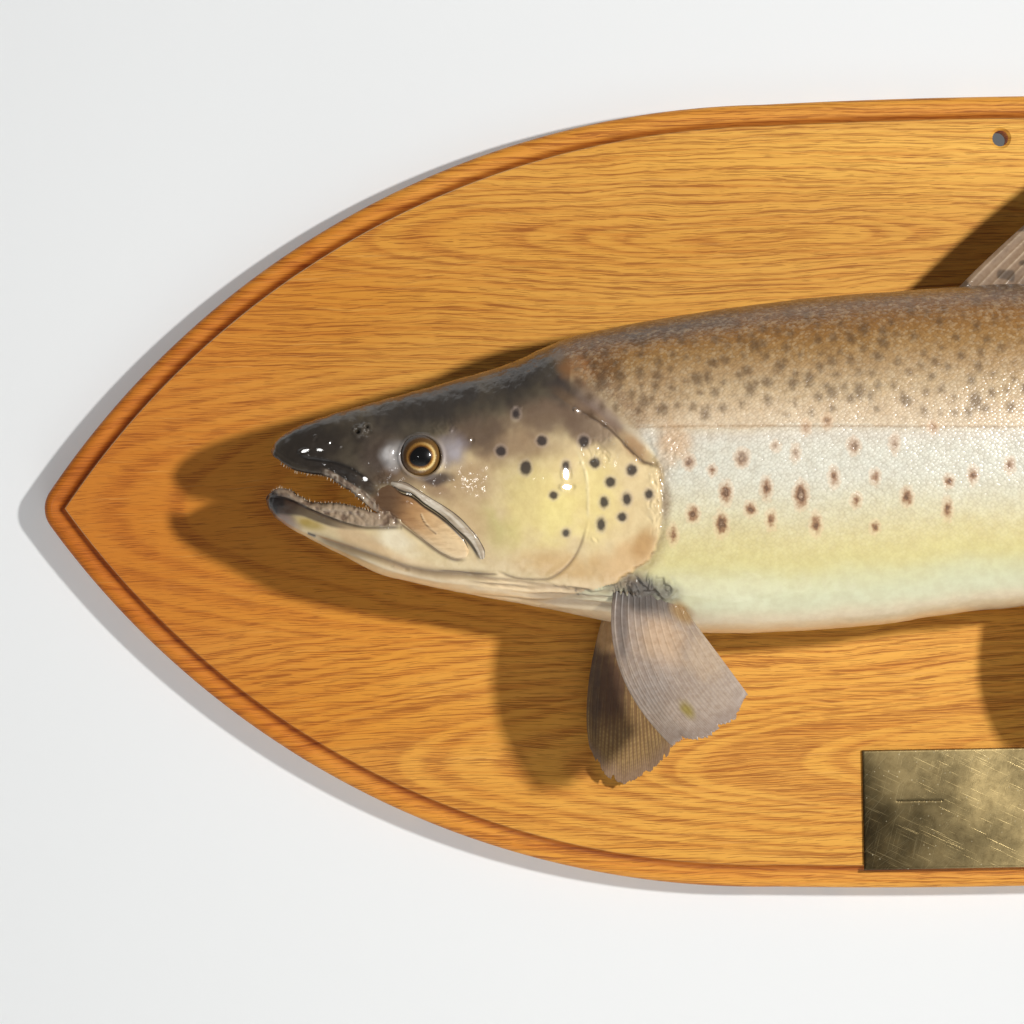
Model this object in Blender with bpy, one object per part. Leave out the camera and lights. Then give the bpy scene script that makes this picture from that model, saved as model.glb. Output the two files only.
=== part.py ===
"""A brown trout mounted on a pointed oval oak board with a brass plaque.

Metres, +Z up. The board hangs on a wall: its back face lies in the plane y = 0 and its front
faces -Y. The fish swims towards -X. The origin is the middle of the board's back face.
"""

import math
import random

import bmesh
import bpy
import numpy as np
from mathutils import Matrix, Vector

MM = 0.001
GAP = 0.3 * MM

# Board
BOARD_THICKNESS = 20 * MM
BOARD_HALF_HEIGHT = 185 * MM
SIDE_ARC_RADIUS = 411 * MM
SIDE_ARC_X = 105.6 * MM
BOW_RADIUS = 3117 * MM
TIP_RADIUS = 14 * MM
TIP_SHARPENING = 1.4
TIP_SMALLEST = 0.4 * MM
# The edge's profile: (distance in from the edge, height above the back face) in millimetres
MOULDING = [
    (0.0, 0.0), (0.0, 11.5), (1.4, 14.0), (4.0, 15.2), (7.0, 15.6), (8.0, 14.6), (9.0, 18.2),
    (10.0, 20.0),
]
BOW_STEPS = 3
ARC_STEPS = 12
TIP_STEPS = 3

# Hanging hole, countersunk from the front
HOLE_X = 5.6 * MM
HOLE_Z = 165 * MM
BORE_RADIUS = 3.7 * MM
SINK_RADIUS = 5.0 * MM
SINK_DEPTH = 1.3 * MM
SINK_OVERLAP = 0.4
HOLE_SIDES = 20

# Plaque
PLAQUE_X = -5.5 * MM
PLAQUE_Z = -147.7 * MM
PLAQUE_LENGTH = 118 * MM
PLAQUE_HEIGHT = 56 * MM
PLAQUE_THICKNESS = 1.4 * MM
PLAQUE_BEVEL = 0.6 * MM

# The fish seen from its side: (x, height) in millimetres
TOP_LINE = [
    (-335.2, 25.0), (-334.4, 27.0), (-332.0, 30.2), (-328.0, 33.0), (-322.0, 36.0), (-307.0, 41.0),
    (-268.6, 50.9), (-243.0, 57.6), (-226.0, 62.8), (-211.6, 68.9), (-196.8, 74.2), (-170.0, 79.7),
    (-137.9, 84.5), (-92.0, 89.9), (-46.0, 92.7), (11.0, 95.0), (57.0, 92.5), (100.0, 86.0),
    (150.0, 76.0), (200.0, 65.5), (250.0, 55.0), (280.0, 50.5), (304.0, 52.5),
]
BOTTOM_LINE = [
    (-338.4, 1.5), (-337.4, -1.5), (-335.4, -4.5), (-331.6, -7.8), (-320.6, -14.8), (-303.8, -24.0),
    (-287.0, -32.6), (-270.0, -37.3), (-253.6, -41.2), (-228.0, -46.2), (-204.0, -51.7),
    (-168.0, -59.3), (-140.6, -62.3), (-117.7, -63.0), (-94.7, -62.5), (-48.8, -59.2),
    (-25.7, -55.9), (8.3, -52.9), (50.0, -48.5), (100.0, -41.0), (150.0, -33.0), (200.0, -27.0),
    (250.0, -21.5), (280.0, -19.5), (304.0, -23.0),
]
# Lower edge of the upper jaw, then the seam between lower jaw and head, down to the throat
UPPER_JAW_LINE = [
    (-335.2, 23.6), (-334.4, 22.6), (-332.0, 21.0), (-329.0, 18.9), (-325.0, 16.6), (-318.0, 14.7),
    (-311.0, 13.6), (-304.0, 9.7), (-297.0, 4.6), (-291.5, -1.0), (-287.0, -4.6),
]
LOWER_JAW_LINE = [
    (-338.4, 3.0), (-337.4, 4.2), (-335.4, 5.2), (-332.0, 6.0), (-329.0, 5.9), (-325.0, 3.6),
    (-320.0, 0.7), (-313.0, -1.0), (-304.0, -1.4), (-297.0, -2.9), (-291.5, -4.2), (-287.0, -5.4),
]
JAW_SEAM = [
    (-287.0, -5.0), (-281.0, -6.6), (-275.0, -10.0), (-268.0, -17.5), (-258.0, -29.5),
    (-250.0, -39.3),
]
MOUTH_CORNER = -287.0
JAW_END = -250.0
# Half widths and the height at which each section is widest
HALF_WIDTH = [
    (-335.2, 1.2), (-334.4, 4.6), (-332.0, 7.6), (-328.0, 10.2), (-322.0, 12.8), (-310.0, 16.0),
    (-295.0, 19.2), (-280.0, 22.4), (-266.0, 25.4), (-250.0, 29.0), (-230.0, 33.4), (-210.0, 37.4),
    (-190.0, 40.6), (-165.0, 43.2), (-135.0, 45.0), (-100.0, 46.0), (-50.0, 46.0), (0.0, 45.0),
    (50.0, 42.5), (100.0, 38.0), (150.0, 31.5), (200.0, 25.0), (250.0, 18.0), (280.0, 13.0), (304.0, 6.0),
]
JAW_HALF_WIDTH = [
    (-338.4, 1.2), (-337.4, 4.4), (-335.4, 7.0), (-332.0, 9.2), (-325.0, 12.0), (-313.0, 15.0),
    (-300.0, 18.2), (-287.0, 21.0), (-275.0, 23.4), (-262.0, 26.3), (-250.0, 29.0),
]
WIDEST_LEVEL = [
    (-335.2, 24.0), (-328.0, 20.0), (-318.0, 17.0), (-304.0, 12.5), (-291.0, 6.5), (-280.0, 3.5),
    (-268.0, 4.0), (-250.0, 7.5), (-220.0, 11.0), (-190.0, 12.5), (-140.0, 13.0), (-90.0, 14.5),
    (-40.0, 17.5), (10.0, 21.0), (60.0, 22.5), (120.0, 22.5), (200.0, 19.5), (304.0, 14.5),
]
JAW_WIDEST_LEVEL = [
    (-338.4, 2.4), (-325.0, 1.0), (-304.0, -3.0), (-287.0, -4.0), (-275.0, 0.0), (-262.0, 4.8),
    (-250.0, 7.5),
]
MIDPLANE = [
    (-338.4, -72.5), (-265.0, -70.0), (-190.0, -66.5), (-100.0, -64.4), (0.0, -64.2), (60.0, -63.5),
    (150.0, -60.0), (250.0, -54.0), (304.0, -50.0),
]
ROUNDNESS_ABOVE = 2.25
ROUNDNESS_BELOW = 2.1
LOWEST_ANGLE = -math.pi / 2 + 0.28
# Beyond the mouth's edges each jaw's section would close this much further on
ROOF_BELOW_EDGE = 6.0
JAW_CLOSES_ABOVE = 20.0
# The mouth's roof and floor and the tongue, as depths at x
PALATE_ARCH = [
    (-335.2, 0.0), (-330.0, 1.0), (-318.0, 4.0), (-300.0, 6.0), (-290.0, 3.5), (-286.0, 0.0),
    (-250.0, 0.0),
]
MOUTH_TROUGH = [
    (-338.4, 0.0), (-334.0, 1.6), (-325.0, 4.5), (-305.0, 8.0), (-293.0, 6.0), (-286.0, 0.0),
    (-250.0, 0.0),
]
TONGUE_RISE = 0.55
TONGUE_WIDTH = 2.4
TROUGH_ROUNDNESS = 0.6
# The lips: how far each stands out at x, and how high it is
LIP_ROLL = [(-338.4, 0.1), (-334.0, 0.7), (-326.0, 1.1), (-296.0, 1.0), (-288.5, 0.0), (-250.0, 0.0)]
LIP_HEIGHT = 2.6
# The lip's points: their shares of its height from the mouth's edge and of how far it stands out
LIP_SHARES = (0.0, 0.5, 1.0)
LIP_STANDS = (0.6, 1.0, 0.0)

# Where the body is parted
HEAD_END = -186.0
FRONT_END = -92.0
MIDDLE_END = 22.0
REAR_END = 150.0
STEM_END = 303.0
HEAD_STATIONS = [
    -335.2, -334.4, -332.0, -328.5, -324.0, -318.0, -311.0, -304.0, -297.0, -291.5, -287.0, -281.0,
    -275.0, -268.0, -259.0, -250.0, -248.0, -240.0, -230.0, -220.0, -210.0, -200.0, -193.0,
]
JAW_STATIONS = [
    -338.4, -337.4, -335.4, -332.0, -328.5, -325.0, -320.0, -313.0, -306.0, -299.0, -293.0, -287.0,
    -281.0, -275.0, -268.0, -259.0, -250.0,
]
HEAD_ARC = 18
HEAD_CHORD = 5
JAW_ARC = 10
JAW_CHORD = 7
BODY_RING = 24
BODY_STEP = 16.0
THROAT_FLAT = 0.8
# Steps over which the skin's normal is measured: an angle and a length
NORMAL_TURN = 0.05
NORMAL_STEP = 2.0

# Gill covers: front and hind edge from below upwards, (x, z) in millimetres
GILL_FRONT = [
    (-214.0, -45.0), (-227.0, -38.0), (-233.0, -23.0), (-229.5, -4.0), (-226.0, 18.0), (-217.0, 40.0),
    (-204.0, 53.0),
]
GILL_HIND = [
    (-201.0, -44.5), (-181.0, -37.5), (-164.0, -28.5), (-159.0, -11.0), (-160.0, 7.0), (-171.0, 20.5),
    (-187.0, 37.0), (-199.0, 52.5),
]
GILL_THICKNESS = 1.9
GILL_LIFT_FRONT = 0.3
GILL_LIFT_HIND = 1.7
GILL_BELLY = 1.0
GILL_COLUMNS = 6
GILL_ROWS = 9
# A plate's bed is cut this deep below it and opens this far above the skin, in gaps
BED_DEPTH = 1.1
BED_OPENING = 12.0

# Maxillae: upper and lower edge from front to back, (x, z) in millimetres
MAXILLA_UPPER = [
    (-289.0, 10.5), (-280.0, 9.6), (-268.0, 5.8), (-254.0, -3.2), (-245.0, -12.5), (-238.5, -24.0),
]
MAXILLA_LOWER = [
    (-289.5, 6.5), (-282.0, -3.5), (-274.0, -11.5), (-264.5, -19.5), (-254.0, -26.0),
    (-241.5, -29.0),
]
MAXILLA_THICKNESS = 1.2
MAXILLA_LIFT = 1.5
MAXILLA_CROWN = 0.7
MAXILLA_COLUMNS = 8
MAXILLA_ROWS = 3

# Eyes
EYE_X = -266.4
EYE_Z = 20.5
EYE_RADIUS = 11.5
EYE_STANDS_OUT = 4.2
EYE_SEGMENTS = 18
EYE_RINGS = 10

# The rim of skin round each eye
EYE_RIM_RADIUS = 9.6
EYE_RIM_THICK = 1.5
EYE_RIM_RISE = 0.9
EYE_RIM_STEPS = 18
EYE_RIM_SIDES = 6

# Nostrils, two pits on each side: (x, z, radius)
NOSTRILS = [(-294.6, 31.6, 1.5), (-290.0, 33.6, 1.1)]
NOSTRIL_DEPTH = 3.0
NOSTRIL_TAPER = 0.6
NOSTRIL_SIDES = 8

# Teeth, small cones along the jaws' rims: the row's front and back end and the number on each side
LOWER_TEETH = (-334.0, -291.0, 11)
UPPER_TEETH = (-329.0, -292.5, 9)
TOOTH_SIDES = 5
TOOTH_SHORTEST = 1.2
TOOTH_LONGEST = 2.0
TOOTH_RADIUS = 0.75
TOOTH_TIP_RADIUS = 0.18
TOOTH_SINK = 1.3
TOOTH_INSET = 1.6
TOOTH_SHIFT = 0.25
TOOTH_LEAN = 0.25
TOOTH_SEED = 4

# Fins: each has a root, a middle and an outer line of points (x, y, z) in millimetres, front to
# back, and its thickness at these three lines
FINS = {
    "pectoral_fin_near": dict(
        root=[(-177, -90, -36), (-166, -91, -41), (-155, -90, -44)],
        middle=[(-179, -99, -74), (-161, -103, -74), (-143, -99, -61)],
        outer=[
            (-157, -107, -109), (-143.5, -112, -107.5), (-131.3, -111, -101.5), (-123, -106, -92),
            (-121, -103, -84),
        ],
        rays=11,
        thick=(2.6, 1.3, 0.6),
    ),
    "pectoral_fin_far": dict(
        root=[(-180, -42, -40), (-169, -41, -44), (-158, -42, -47)],
        middle=[(-191.5, -35, -84), (-172, -32, -90), (-153, -34, -80)],
        outer=[
            (-191.6, -31, -116.6), (-184.9, -29, -128.4), (-175.7, -28, -132.3), (-164, -28, -128.8),
            (-151, -30, -113),
        ],
        rays=11,
        thick=(2.6, 1.3, 0.6),
    ),
    "pelvic_fin_near": dict(
        root=[(26, -82, -44), (36, -82, -43), (46, -82, -42)],
        middle=[(25, -87, -74), (40, -90, -73), (56, -88, -64)],
        outer=[(36, -91, -99), (48, -95, -101), (62, -95, -94), (73, -92, -80)],
        rays=8,
        thick=(2.4, 1.3, 0.6),
    ),
    "pelvic_fin_far": dict(
        root=[(26, -46, -44), (36, -46, -43), (46, -46, -42)],
        middle=[(25, -41, -74), (40, -38, -73), (56, -40, -64)],
        outer=[(36, -37, -99), (48, -33, -101), (62, -33, -94), (73, -36, -80)],
        rays=8,
        thick=(2.4, 1.3, 0.6),
    ),
    "dorsal_fin": dict(
        root=[(-14, -64.5, 91), (22, -64.5, 91.5), (57, -64, 89)],
        middle=[(12, -65.5, 119), (43, -67, 118), (68, -65, 100)],
        outer=[(41, -66, 145), (50, -68, 146.5), (63, -70, 138), (73, -69, 124), (79, -67, 109)],
        rays=12,
        thick=(3.0, 1.5, 0.6),
    ),
    "anal_fin": dict(
        root=[(158, -59.5, -29), (182, -58.5, -27), (206, -57, -24)],
        middle=[(168, -59.5, -56), (192, -58, -52), (214, -56.5, -36)],
        outer=[(180, -60, -79), (187, -59, -81.5), (201, -58, -72), (212, -57, -59), (220, -56, -45)],
        rays=9,
        thick=(2.6, 1.4, 0.6),
    ),
    "tail_fin": dict(
        root=[(303.3, -50, 51.5), (303.3, -50, 14.7), (303.3, -50, -22)],
        middle=[(339, -48.5, 70), (338, -48.5, 14.7), (339, -48.5, -41)],
        outer=[
            (369, -47.5, 85), (378, -47, 77), (378.5, -46.5, 52), (375, -46, 14.7), (378.5, -46.5, -23),
            (378, -47, -48), (369, -47.5, -56),
        ],
        rays=16,
        thick=(11.0, 2.2, 0.7),
    ),
}
# How far a ray stands out of both faces at those lines, and how much shorter the web is beside it
RAY_HEIGHT = (1.3, 1.0, 0.5)
SCALLOP = 0.013
FIN_ROWS = 6
FIN_EDGE = 0.75
FIN_NORMAL_STEP = 0.02
# The body that trims a fin's root is larger by this many gaps, and this much longer at each end
FIN_CLEARANCE = 1.3
FIN_TRIM_MARGIN = 50.0

# Adipose fin, a small lobe: (x, z) of its root's and its tip's middle
ADIPOSE_ROOT = (205.0, 66.0)
ADIPOSE_LENGTH = 19.0
ADIPOSE_TIP = (225.0, 87.0)
ADIPOSE_THICK = 4.0
ADIPOSE_SINK = 6.0
ADIPOSE_LEAN = 1.15
ADIPOSE_SLIMMING = (0.15, 0.45)
ADIPOSE_TIP_ROUNDNESS = 0.04
ADIPOSE_STEPS = 6
ADIPOSE_SIDES = 10


def curve_through(points):
    """A smooth function through (x, value) points, level past its ends."""
    xs = np.array([p[0] for p in points], float)
    ys = np.array([p[1] for p in points], float)
    spans = np.diff(xs)
    slopes = np.diff(ys) / spans
    tangents = np.empty(len(xs))
    tangents[0] = slopes[0]
    tangents[-1] = slopes[-1]
    for i in range(1, len(xs) - 1):
        before = spans[i - 1]
        after = spans[i]
        steepest = 3 * min(abs(slopes[i - 1]), abs(slopes[i]))
        mean = (slopes[i - 1] * after + slopes[i] * before) / (before + after)
        turns = slopes[i - 1] * slopes[i] <= 0
        tangents[i] = 0.0 if turns else math.copysign(min(abs(mean), steepest), mean)

    def value(x):
        if x <= xs[0]:
            return float(ys[0])
        if x >= xs[-1]:
            return float(ys[-1])
        i = int(np.searchsorted(xs, x, side="right")) - 1
        t = (x - xs[i]) / spans[i]
        return float(
            ys[i] * (1 + 2 * t) * (1 - t) ** 2
            + tangents[i] * spans[i] * t * (1 - t) ** 2
            + ys[i + 1] * t * t * (3 - 2 * t)
            - tangents[i + 1] * spans[i] * t * t * (1 - t)
        )

    return value


top_at = curve_through(TOP_LINE)
bottom_at = curve_through(BOTTOM_LINE)
width_at = curve_through(HALF_WIDTH)
widest_at = curve_through(WIDEST_LEVEL)
middle_at = curve_through(MIDPLANE)
jaw_width_at = curve_through(JAW_HALF_WIDTH)
jaw_widest_at = curve_through(JAW_WIDEST_LEVEL)
upper_jaw_at = curve_through(UPPER_JAW_LINE)
lower_jaw_at = curve_through(LOWER_JAW_LINE)
seam_at = curve_through(JAW_SEAM)
palate_at = curve_through(PALATE_ARCH)
trough_at = curve_through(MOUTH_TROUGH)
lip_at = curve_through(LIP_ROLL)


def material(name, colour, roughness, metallic=0.0):
    made = bpy.data.materials.new(name)
    made.use_nodes = True
    shader = made.node_tree.nodes["Principled BSDF"]
    shader.inputs["Base Color"].default_value = (*colour, 1.0)
    shader.inputs["Roughness"].default_value = roughness
    shader.inputs["Metallic"].default_value = metallic
    return made


def object_from(name, points, faces, look, smooth=True):
    """A closed mesh object from points in millimetres."""
    mesh = bpy.data.meshes.new(name)
    mesh.from_pydata([Vector(p) * MM for p in points], [], faces)
    bm = bmesh.new()
    bm.from_mesh(mesh)
    bmesh.ops.recalc_face_normals(bm, faces=bm.faces)
    bm.to_mesh(mesh)
    bm.free()
    mesh.materials.append(look)
    if smooth:
        mesh.shade_smooth()
        mesh.set_sharp_from_angle(angle=math.radians(35))
    made = bpy.data.objects.new(name, mesh)
    bpy.context.scene.collection.objects.link(made)
    return made


def keep_largest(mesh):
    """Drops every closed surface but the one with the most volume."""
    bm = bmesh.new()
    bm.from_mesh(mesh)
    bm.faces.ensure_lookup_table()
    left = set(bm.faces)
    shells = []
    while left:
        shell = set()
        edge_of_shell = [left.pop()]
        while edge_of_shell:
            face = edge_of_shell.pop()
            shell.add(face)
            for edge in face.edges:
                for other in edge.link_faces:
                    if other in left:
                        left.discard(other)
                        edge_of_shell.append(other)
        shells.append(shell)

    def volume(shell):
        total = 0.0
        for face in shell:
            corners = [v.co for v in face.verts]
            for i in range(1, len(corners) - 1):
                total += corners[0].dot(corners[i].cross(corners[i + 1])) / 6
        return abs(total)

    largest = max(shells, key=volume)
    scraps = [face for face in bm.faces if face not in largest]
    bmesh.ops.delete(bm, geom=scraps, context="FACES")
    bm.to_mesh(mesh)
    bm.free()


def combine(target, others, operation):
    """Cuts the other objects from the target, or joins them to it, and removes them."""
    for other in others:
        modifier = target.modifiers.new(other.name, "BOOLEAN")
        modifier.operation = operation
        modifier.solver = "EXACT"
        modifier.object = other
        bpy.context.view_layer.update()
        graph = bpy.context.evaluated_depsgraph_get()
        result = bpy.data.meshes.new_from_object(target.evaluated_get(graph))
        target.modifiers.clear()
        target.data = result
        keep_largest(target.data)
    for other in others:
        bpy.data.objects.remove(other)


def unite(target, pieces):
    """Joins many pieces to the target in one union and removes them."""
    collection = bpy.data.collections.new("pieces")
    for piece in pieces:
        collection.objects.link(piece)
    modifier = target.modifiers.new("pieces", "BOOLEAN")
    modifier.operation = "UNION"
    modifier.operand_type = "COLLECTION"
    modifier.collection = collection
    modifier.solver = "EXACT"
    bpy.context.view_layer.update()
    graph = bpy.context.evaluated_depsgraph_get()
    result = bpy.data.meshes.new_from_object(target.evaluated_get(graph))
    target.modifiers.clear()
    target.data = result
    keep_largest(target.data)
    for piece in pieces:
        bpy.data.objects.remove(piece)
    bpy.data.collections.remove(collection)


def as_cutter(made):
    made.hide_render = True
    made.display_type = "WIRE"
    return made


def signed_power(value, exponent):
    return math.copysign(abs(value) ** exponent, value)


def section_point(x, angle, half_width, widest, top, bottom):
    """A point of the rounded section at x. Angle 0 is the far side, a quarter turn is the top."""
    sine = math.sin(angle)
    reach = top - widest if sine >= 0 else widest - bottom
    roundness = ROUNDNESS_ABOVE if sine >= 0 else ROUNDNESS_BELOW
    across = signed_power(math.cos(angle), 2 / roundness) * half_width
    return Vector((x, middle_at(x) + across, widest + signed_power(sine, 2 / roundness) * reach))


def angle_at_height(height, widest, top, bottom):
    """The angle on the far side at which the section reaches this height."""
    if height >= widest:
        share = min(1.0, (height - widest) / (top - widest))
        return math.asin(share ** (ROUNDNESS_ABOVE / 2))
    share = min(1.0, (widest - height) / (widest - bottom))
    return -math.asin(share ** (ROUNDNESS_BELOW / 2))


def against_board(point):
    """Flattens the far flank where it is screwed up against the board."""
    return Vector((point[0], min(point[1], -(BOARD_THICKNESS + GAP) / MM), point[2]))


def lofted(name, rings, look):
    """A closed solid through rings of points, each with a flat cap at its end."""
    count = len(rings[0])
    points = [p for ring in rings for p in ring]
    faces = [tuple(range(count)), tuple(range(len(points) - count, len(points)))]
    for r in range(len(rings) - 1):
        for i in range(count):
            j = (i + 1) % count
            a = r * count + i
            b = r * count + j
            faces.append((a, b, b + count, a + count))
    return object_from(name, points, faces, look)


def skin_side(x, z, side, lift=0.0):
    """A point of the flank at x and height z, lifted outwards. Side is -1 for the near flank."""
    top = top_at(x)
    bottom = bottom_at(x)
    widest = widest_at(x)
    angle = angle_at_height(z, widest, top, bottom)
    here = section_point(x, angle, width_at(x), widest, top, bottom)
    above = section_point(x, min(angle + NORMAL_TURN, math.pi / 2), width_at(x), widest, top, bottom)
    below = section_point(x, angle - NORMAL_TURN, width_at(x), widest, top, bottom)
    behind_x = x + NORMAL_STEP
    behind = section_point(
        behind_x, angle, width_at(behind_x), widest_at(behind_x), top_at(behind_x), bottom_at(behind_x)
    )
    normal = (above - below).cross(behind - here).normalized()
    if normal.y < 0:
        normal = -normal
    lifted = here + normal * lift
    if side < 0:
        lifted.y = 2 * middle_at(x) - lifted.y
    return lifted


def path_through(points):
    """A smooth path through points, as a function of a share from 0 to 1."""
    lengths = [0.0]
    for a, b in zip(points, points[1:]):
        lengths.append(lengths[-1] + math.dist(a, b))
    shares = [length / lengths[-1] for length in lengths]
    parts = [curve_through([(s, p[k]) for s, p in zip(shares, points)]) for k in range(len(points[0]))]
    return lambda share: tuple(part(min(max(share, 0.0), 1.0)) for part in parts)


def plate(name, outer, inner, columns, rows, look):
    """A thin closed plate: outer and inner give a point for each share across and along."""
    points = []
    faces = []
    for layer in (outer, inner):
        for r in range(rows + 1):
            for c in range(columns + 1):
                points.append(layer(c / columns, r / rows))
    wide = columns + 1
    layer_size = wide * (rows + 1)
    for r in range(rows):
        for c in range(columns):
            a = r * wide + c
            for corner in ((a, a + 1, a + wide + 1), (a, a + wide + 1, a + wide)):
                faces.append(corner)
                faces.append(tuple(i + layer_size for i in reversed(corner)))
    rim = [c for c in range(wide)]
    rim += [r * wide + columns for r in range(1, rows + 1)]
    rim += [rows * wide + c for c in range(columns - 1, -1, -1)]
    rim += [r * wide for r in range(rows - 1, 0, -1)]
    for a, b in zip(rim, rim[1:] + rim[:1]):
        faces.append((a, a + layer_size, b + layer_size))
        faces.append((a, b + layer_size, b))
    return object_from(name, points, faces, look)


def head_plate(name, side, edge_a, edge_b, lift, thickness, columns, rows, look, grow=0.0):
    """A bony plate over the head between two edges. With grow it is the cutter of its bed."""
    path_a = path_through(edge_a)
    path_b = path_through(edge_b)
    first = Vector(path_a(0.0)) + Vector(path_b(0.0))
    last = Vector(path_a(1.0)) + Vector(path_b(1.0))
    lengthwise = (last - first).normalized()

    def place(across, along):
        a = Vector(path_a(along))
        b = Vector(path_b(along))
        if grow:
            outwards = (b - a).normalized() * grow
            a = a - outwards
            b = b + outwards
            end = {0.0: -1, 1.0: 1}.get(along, 0)
            a = a + lengthwise * grow * end
            b = b + lengthwise * grow * end
        return a.lerp(b, across)

    def outer(across, along):
        x, z = place(across, along)
        return skin_side(x, z, side, lift(across, along) + BED_OPENING * grow)

    def inner(across, along):
        x, z = place(across, along)
        return skin_side(x, z, side, lift(across, along) - thickness - BED_DEPTH * grow)

    return plate(name, outer, inner, columns, rows, look)


def board_outline(inset):
    """The board's outline, this far in from its edge, as (x, z) points in order round it."""
    bow_drop = BOW_RADIUS - math.sqrt(BOW_RADIUS**2 - SIDE_ARC_X**2)
    arc_centre_z = BOARD_HALF_HEIGHT - bow_drop - SIDE_ARC_RADIUS
    bow_centre_z = BOARD_HALF_HEIGHT - BOW_RADIUS
    bow = BOW_RADIUS - inset
    radius = SIDE_ARC_RADIUS - inset
    tip_radius = max(TIP_SMALLEST, TIP_RADIUS - TIP_SHARPENING * inset)
    # The tip's small circle touches both side arcs from within
    reach = radius - tip_radius
    tip_centre_x = SIDE_ARC_X + math.sqrt(reach**2 - arc_centre_z**2)
    touch = math.atan2(-arc_centre_z, tip_centre_x - SIDE_ARC_X)
    start = math.atan2(SIDE_ARC_X, BOW_RADIUS)
    quarter = []
    for i in range(BOW_STEPS):
        angle = start * i / BOW_STEPS
        quarter.append((bow * math.sin(angle), bow_centre_z + bow * math.cos(angle)))
    for i in range(ARC_STEPS):
        angle = math.pi / 2 - (math.pi / 2 - touch) * i / ARC_STEPS
        quarter.append((SIDE_ARC_X + radius * math.cos(angle), arc_centre_z + radius * math.sin(angle)))
    for i in range(TIP_STEPS):
        angle = touch * (1 - i / TIP_STEPS)
        quarter.append((tip_centre_x + tip_radius * math.cos(angle), tip_radius * math.sin(angle)))
    right_end = (tip_centre_x + tip_radius, 0.0)
    upper_right = quarter + [right_end]
    lower_right = [(x, -z) for x, z in reversed(quarter[1:])]
    right_side = upper_right + lower_right
    bottom_middle = (0.0, -quarter[0][1])
    left_side = [(-x, z) for x, z in reversed(right_side[1:])]
    return right_side + [bottom_middle] + left_side


def make_board(look):
    rings = []
    for inset, depth in MOULDING:
        rings.append([Vector((x / MM, -depth, z / MM)) for x, z in board_outline(inset * MM)])
    board = lofted("board", rings, look)
    bore = hole_cutter("bore_cutter", BORE_RADIUS, BORE_RADIUS, 2 * BOARD_THICKNESS, 0.0)
    flare = SINK_RADIUS - BORE_RADIUS
    sink = hole_cutter(
        "sink_cutter",
        BORE_RADIUS - flare * SINK_OVERLAP,
        SINK_RADIUS + flare * (1 - SINK_OVERLAP),
        2 * SINK_DEPTH,
        SINK_DEPTH * SINK_OVERLAP - BOARD_THICKNESS,
    )
    combine(board, [bore, sink], "DIFFERENCE")


def hole_cutter(name, inner_radius, outer_radius, length, y):
    """A cone across the board at the hole's place, with its outer end towards the room."""
    bm = bmesh.new()
    bmesh.ops.create_cone(
        bm, cap_ends=True, segments=HOLE_SIDES, radius1=inner_radius, radius2=outer_radius, depth=length
    )
    mesh = bpy.data.meshes.new(name)
    bm.to_mesh(mesh)
    bm.free()
    made = bpy.data.objects.new(name, mesh)
    made.location = (HOLE_X, y, HOLE_Z)
    made.rotation_euler = (math.pi / 2, 0, 0)
    bpy.context.scene.collection.objects.link(made)
    return as_cutter(made)


def make_plaque(look):
    bm = bmesh.new()
    bmesh.ops.create_cube(bm, size=1.0)
    bmesh.ops.scale(bm, vec=(PLAQUE_LENGTH, PLAQUE_THICKNESS, PLAQUE_HEIGHT), verts=bm.verts)
    front = [e for e in bm.edges if all(v.co.y < 0 for v in e.verts)]
    bmesh.ops.bevel(bm, geom=front, offset=PLAQUE_BEVEL, segments=2, affect="EDGES")
    mesh = bpy.data.meshes.new("plaque")
    bm.to_mesh(mesh)
    bm.free()
    mesh.materials.append(look)
    plaque = bpy.data.objects.new("plaque", mesh)
    plaque.location = (PLAQUE_X, -(BOARD_THICKNESS + GAP + PLAQUE_THICKNESS / 2), PLAQUE_Z)
    bpy.context.scene.collection.objects.link(plaque)


def head_cut_at(x):
    """The lower edge of the head's own solid: the jaw's edge, then the seam, then the throat."""
    if x <= MOUTH_CORNER:
        return upper_jaw_at(x)
    if x <= JAW_END:
        return seam_at(x) + seam_half_gap(x)
    return bottom_at(x) + THROAT_FLAT


def jaw_cut_at(x):
    """The upper edge of the lower jaw: the mouth's edge, then the seam."""
    if x <= MOUTH_CORNER:
        return lower_jaw_at(x)
    return seam_at(x) - seam_half_gap(x)


def seam_half_gap(x):
    """Half the height of the gap along the seam, more where the seam is steep."""
    half_step = 0.5
    slope = (seam_at(x + half_step) - seam_at(x - half_step)) / (2 * half_step)
    return GAP / MM / 2 * math.sqrt(1 + slope * slope)


def roof_closes_at(x):
    """The height at which the head's section at x would close below."""
    if x > MOUTH_CORNER:
        return bottom_at(x)
    return min(bottom_at(x), upper_jaw_at(x) - ROOF_BELOW_EDGE)


def lip_angles(edge, height, widest, top, bottom):
    """The angles of the lip's points on the far side, from the mouth's edge over the lip's height."""
    angles = [angle_at_height(edge + height * share, widest, top, bottom) for share in LIP_SHARES]
    start = max(angles[0], LOWEST_ANGLE)
    return [start + angle - angles[0] for angle in angles]


def lipped_ring(x, angles, half_width, widest, top, bottom):
    """The section's points at these angles, with the lip's points at each end rolled outwards."""
    ring = []
    for i, angle in enumerate(angles):
        from_end = min(i, len(angles) - 1 - i)
        roll = lip_at(x) * LIP_STANDS[from_end] if from_end < len(LIP_STANDS) else 0.0
        ring.append(section_point(x, angle, half_width + roll, widest, top, bottom))
    return ring


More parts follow.
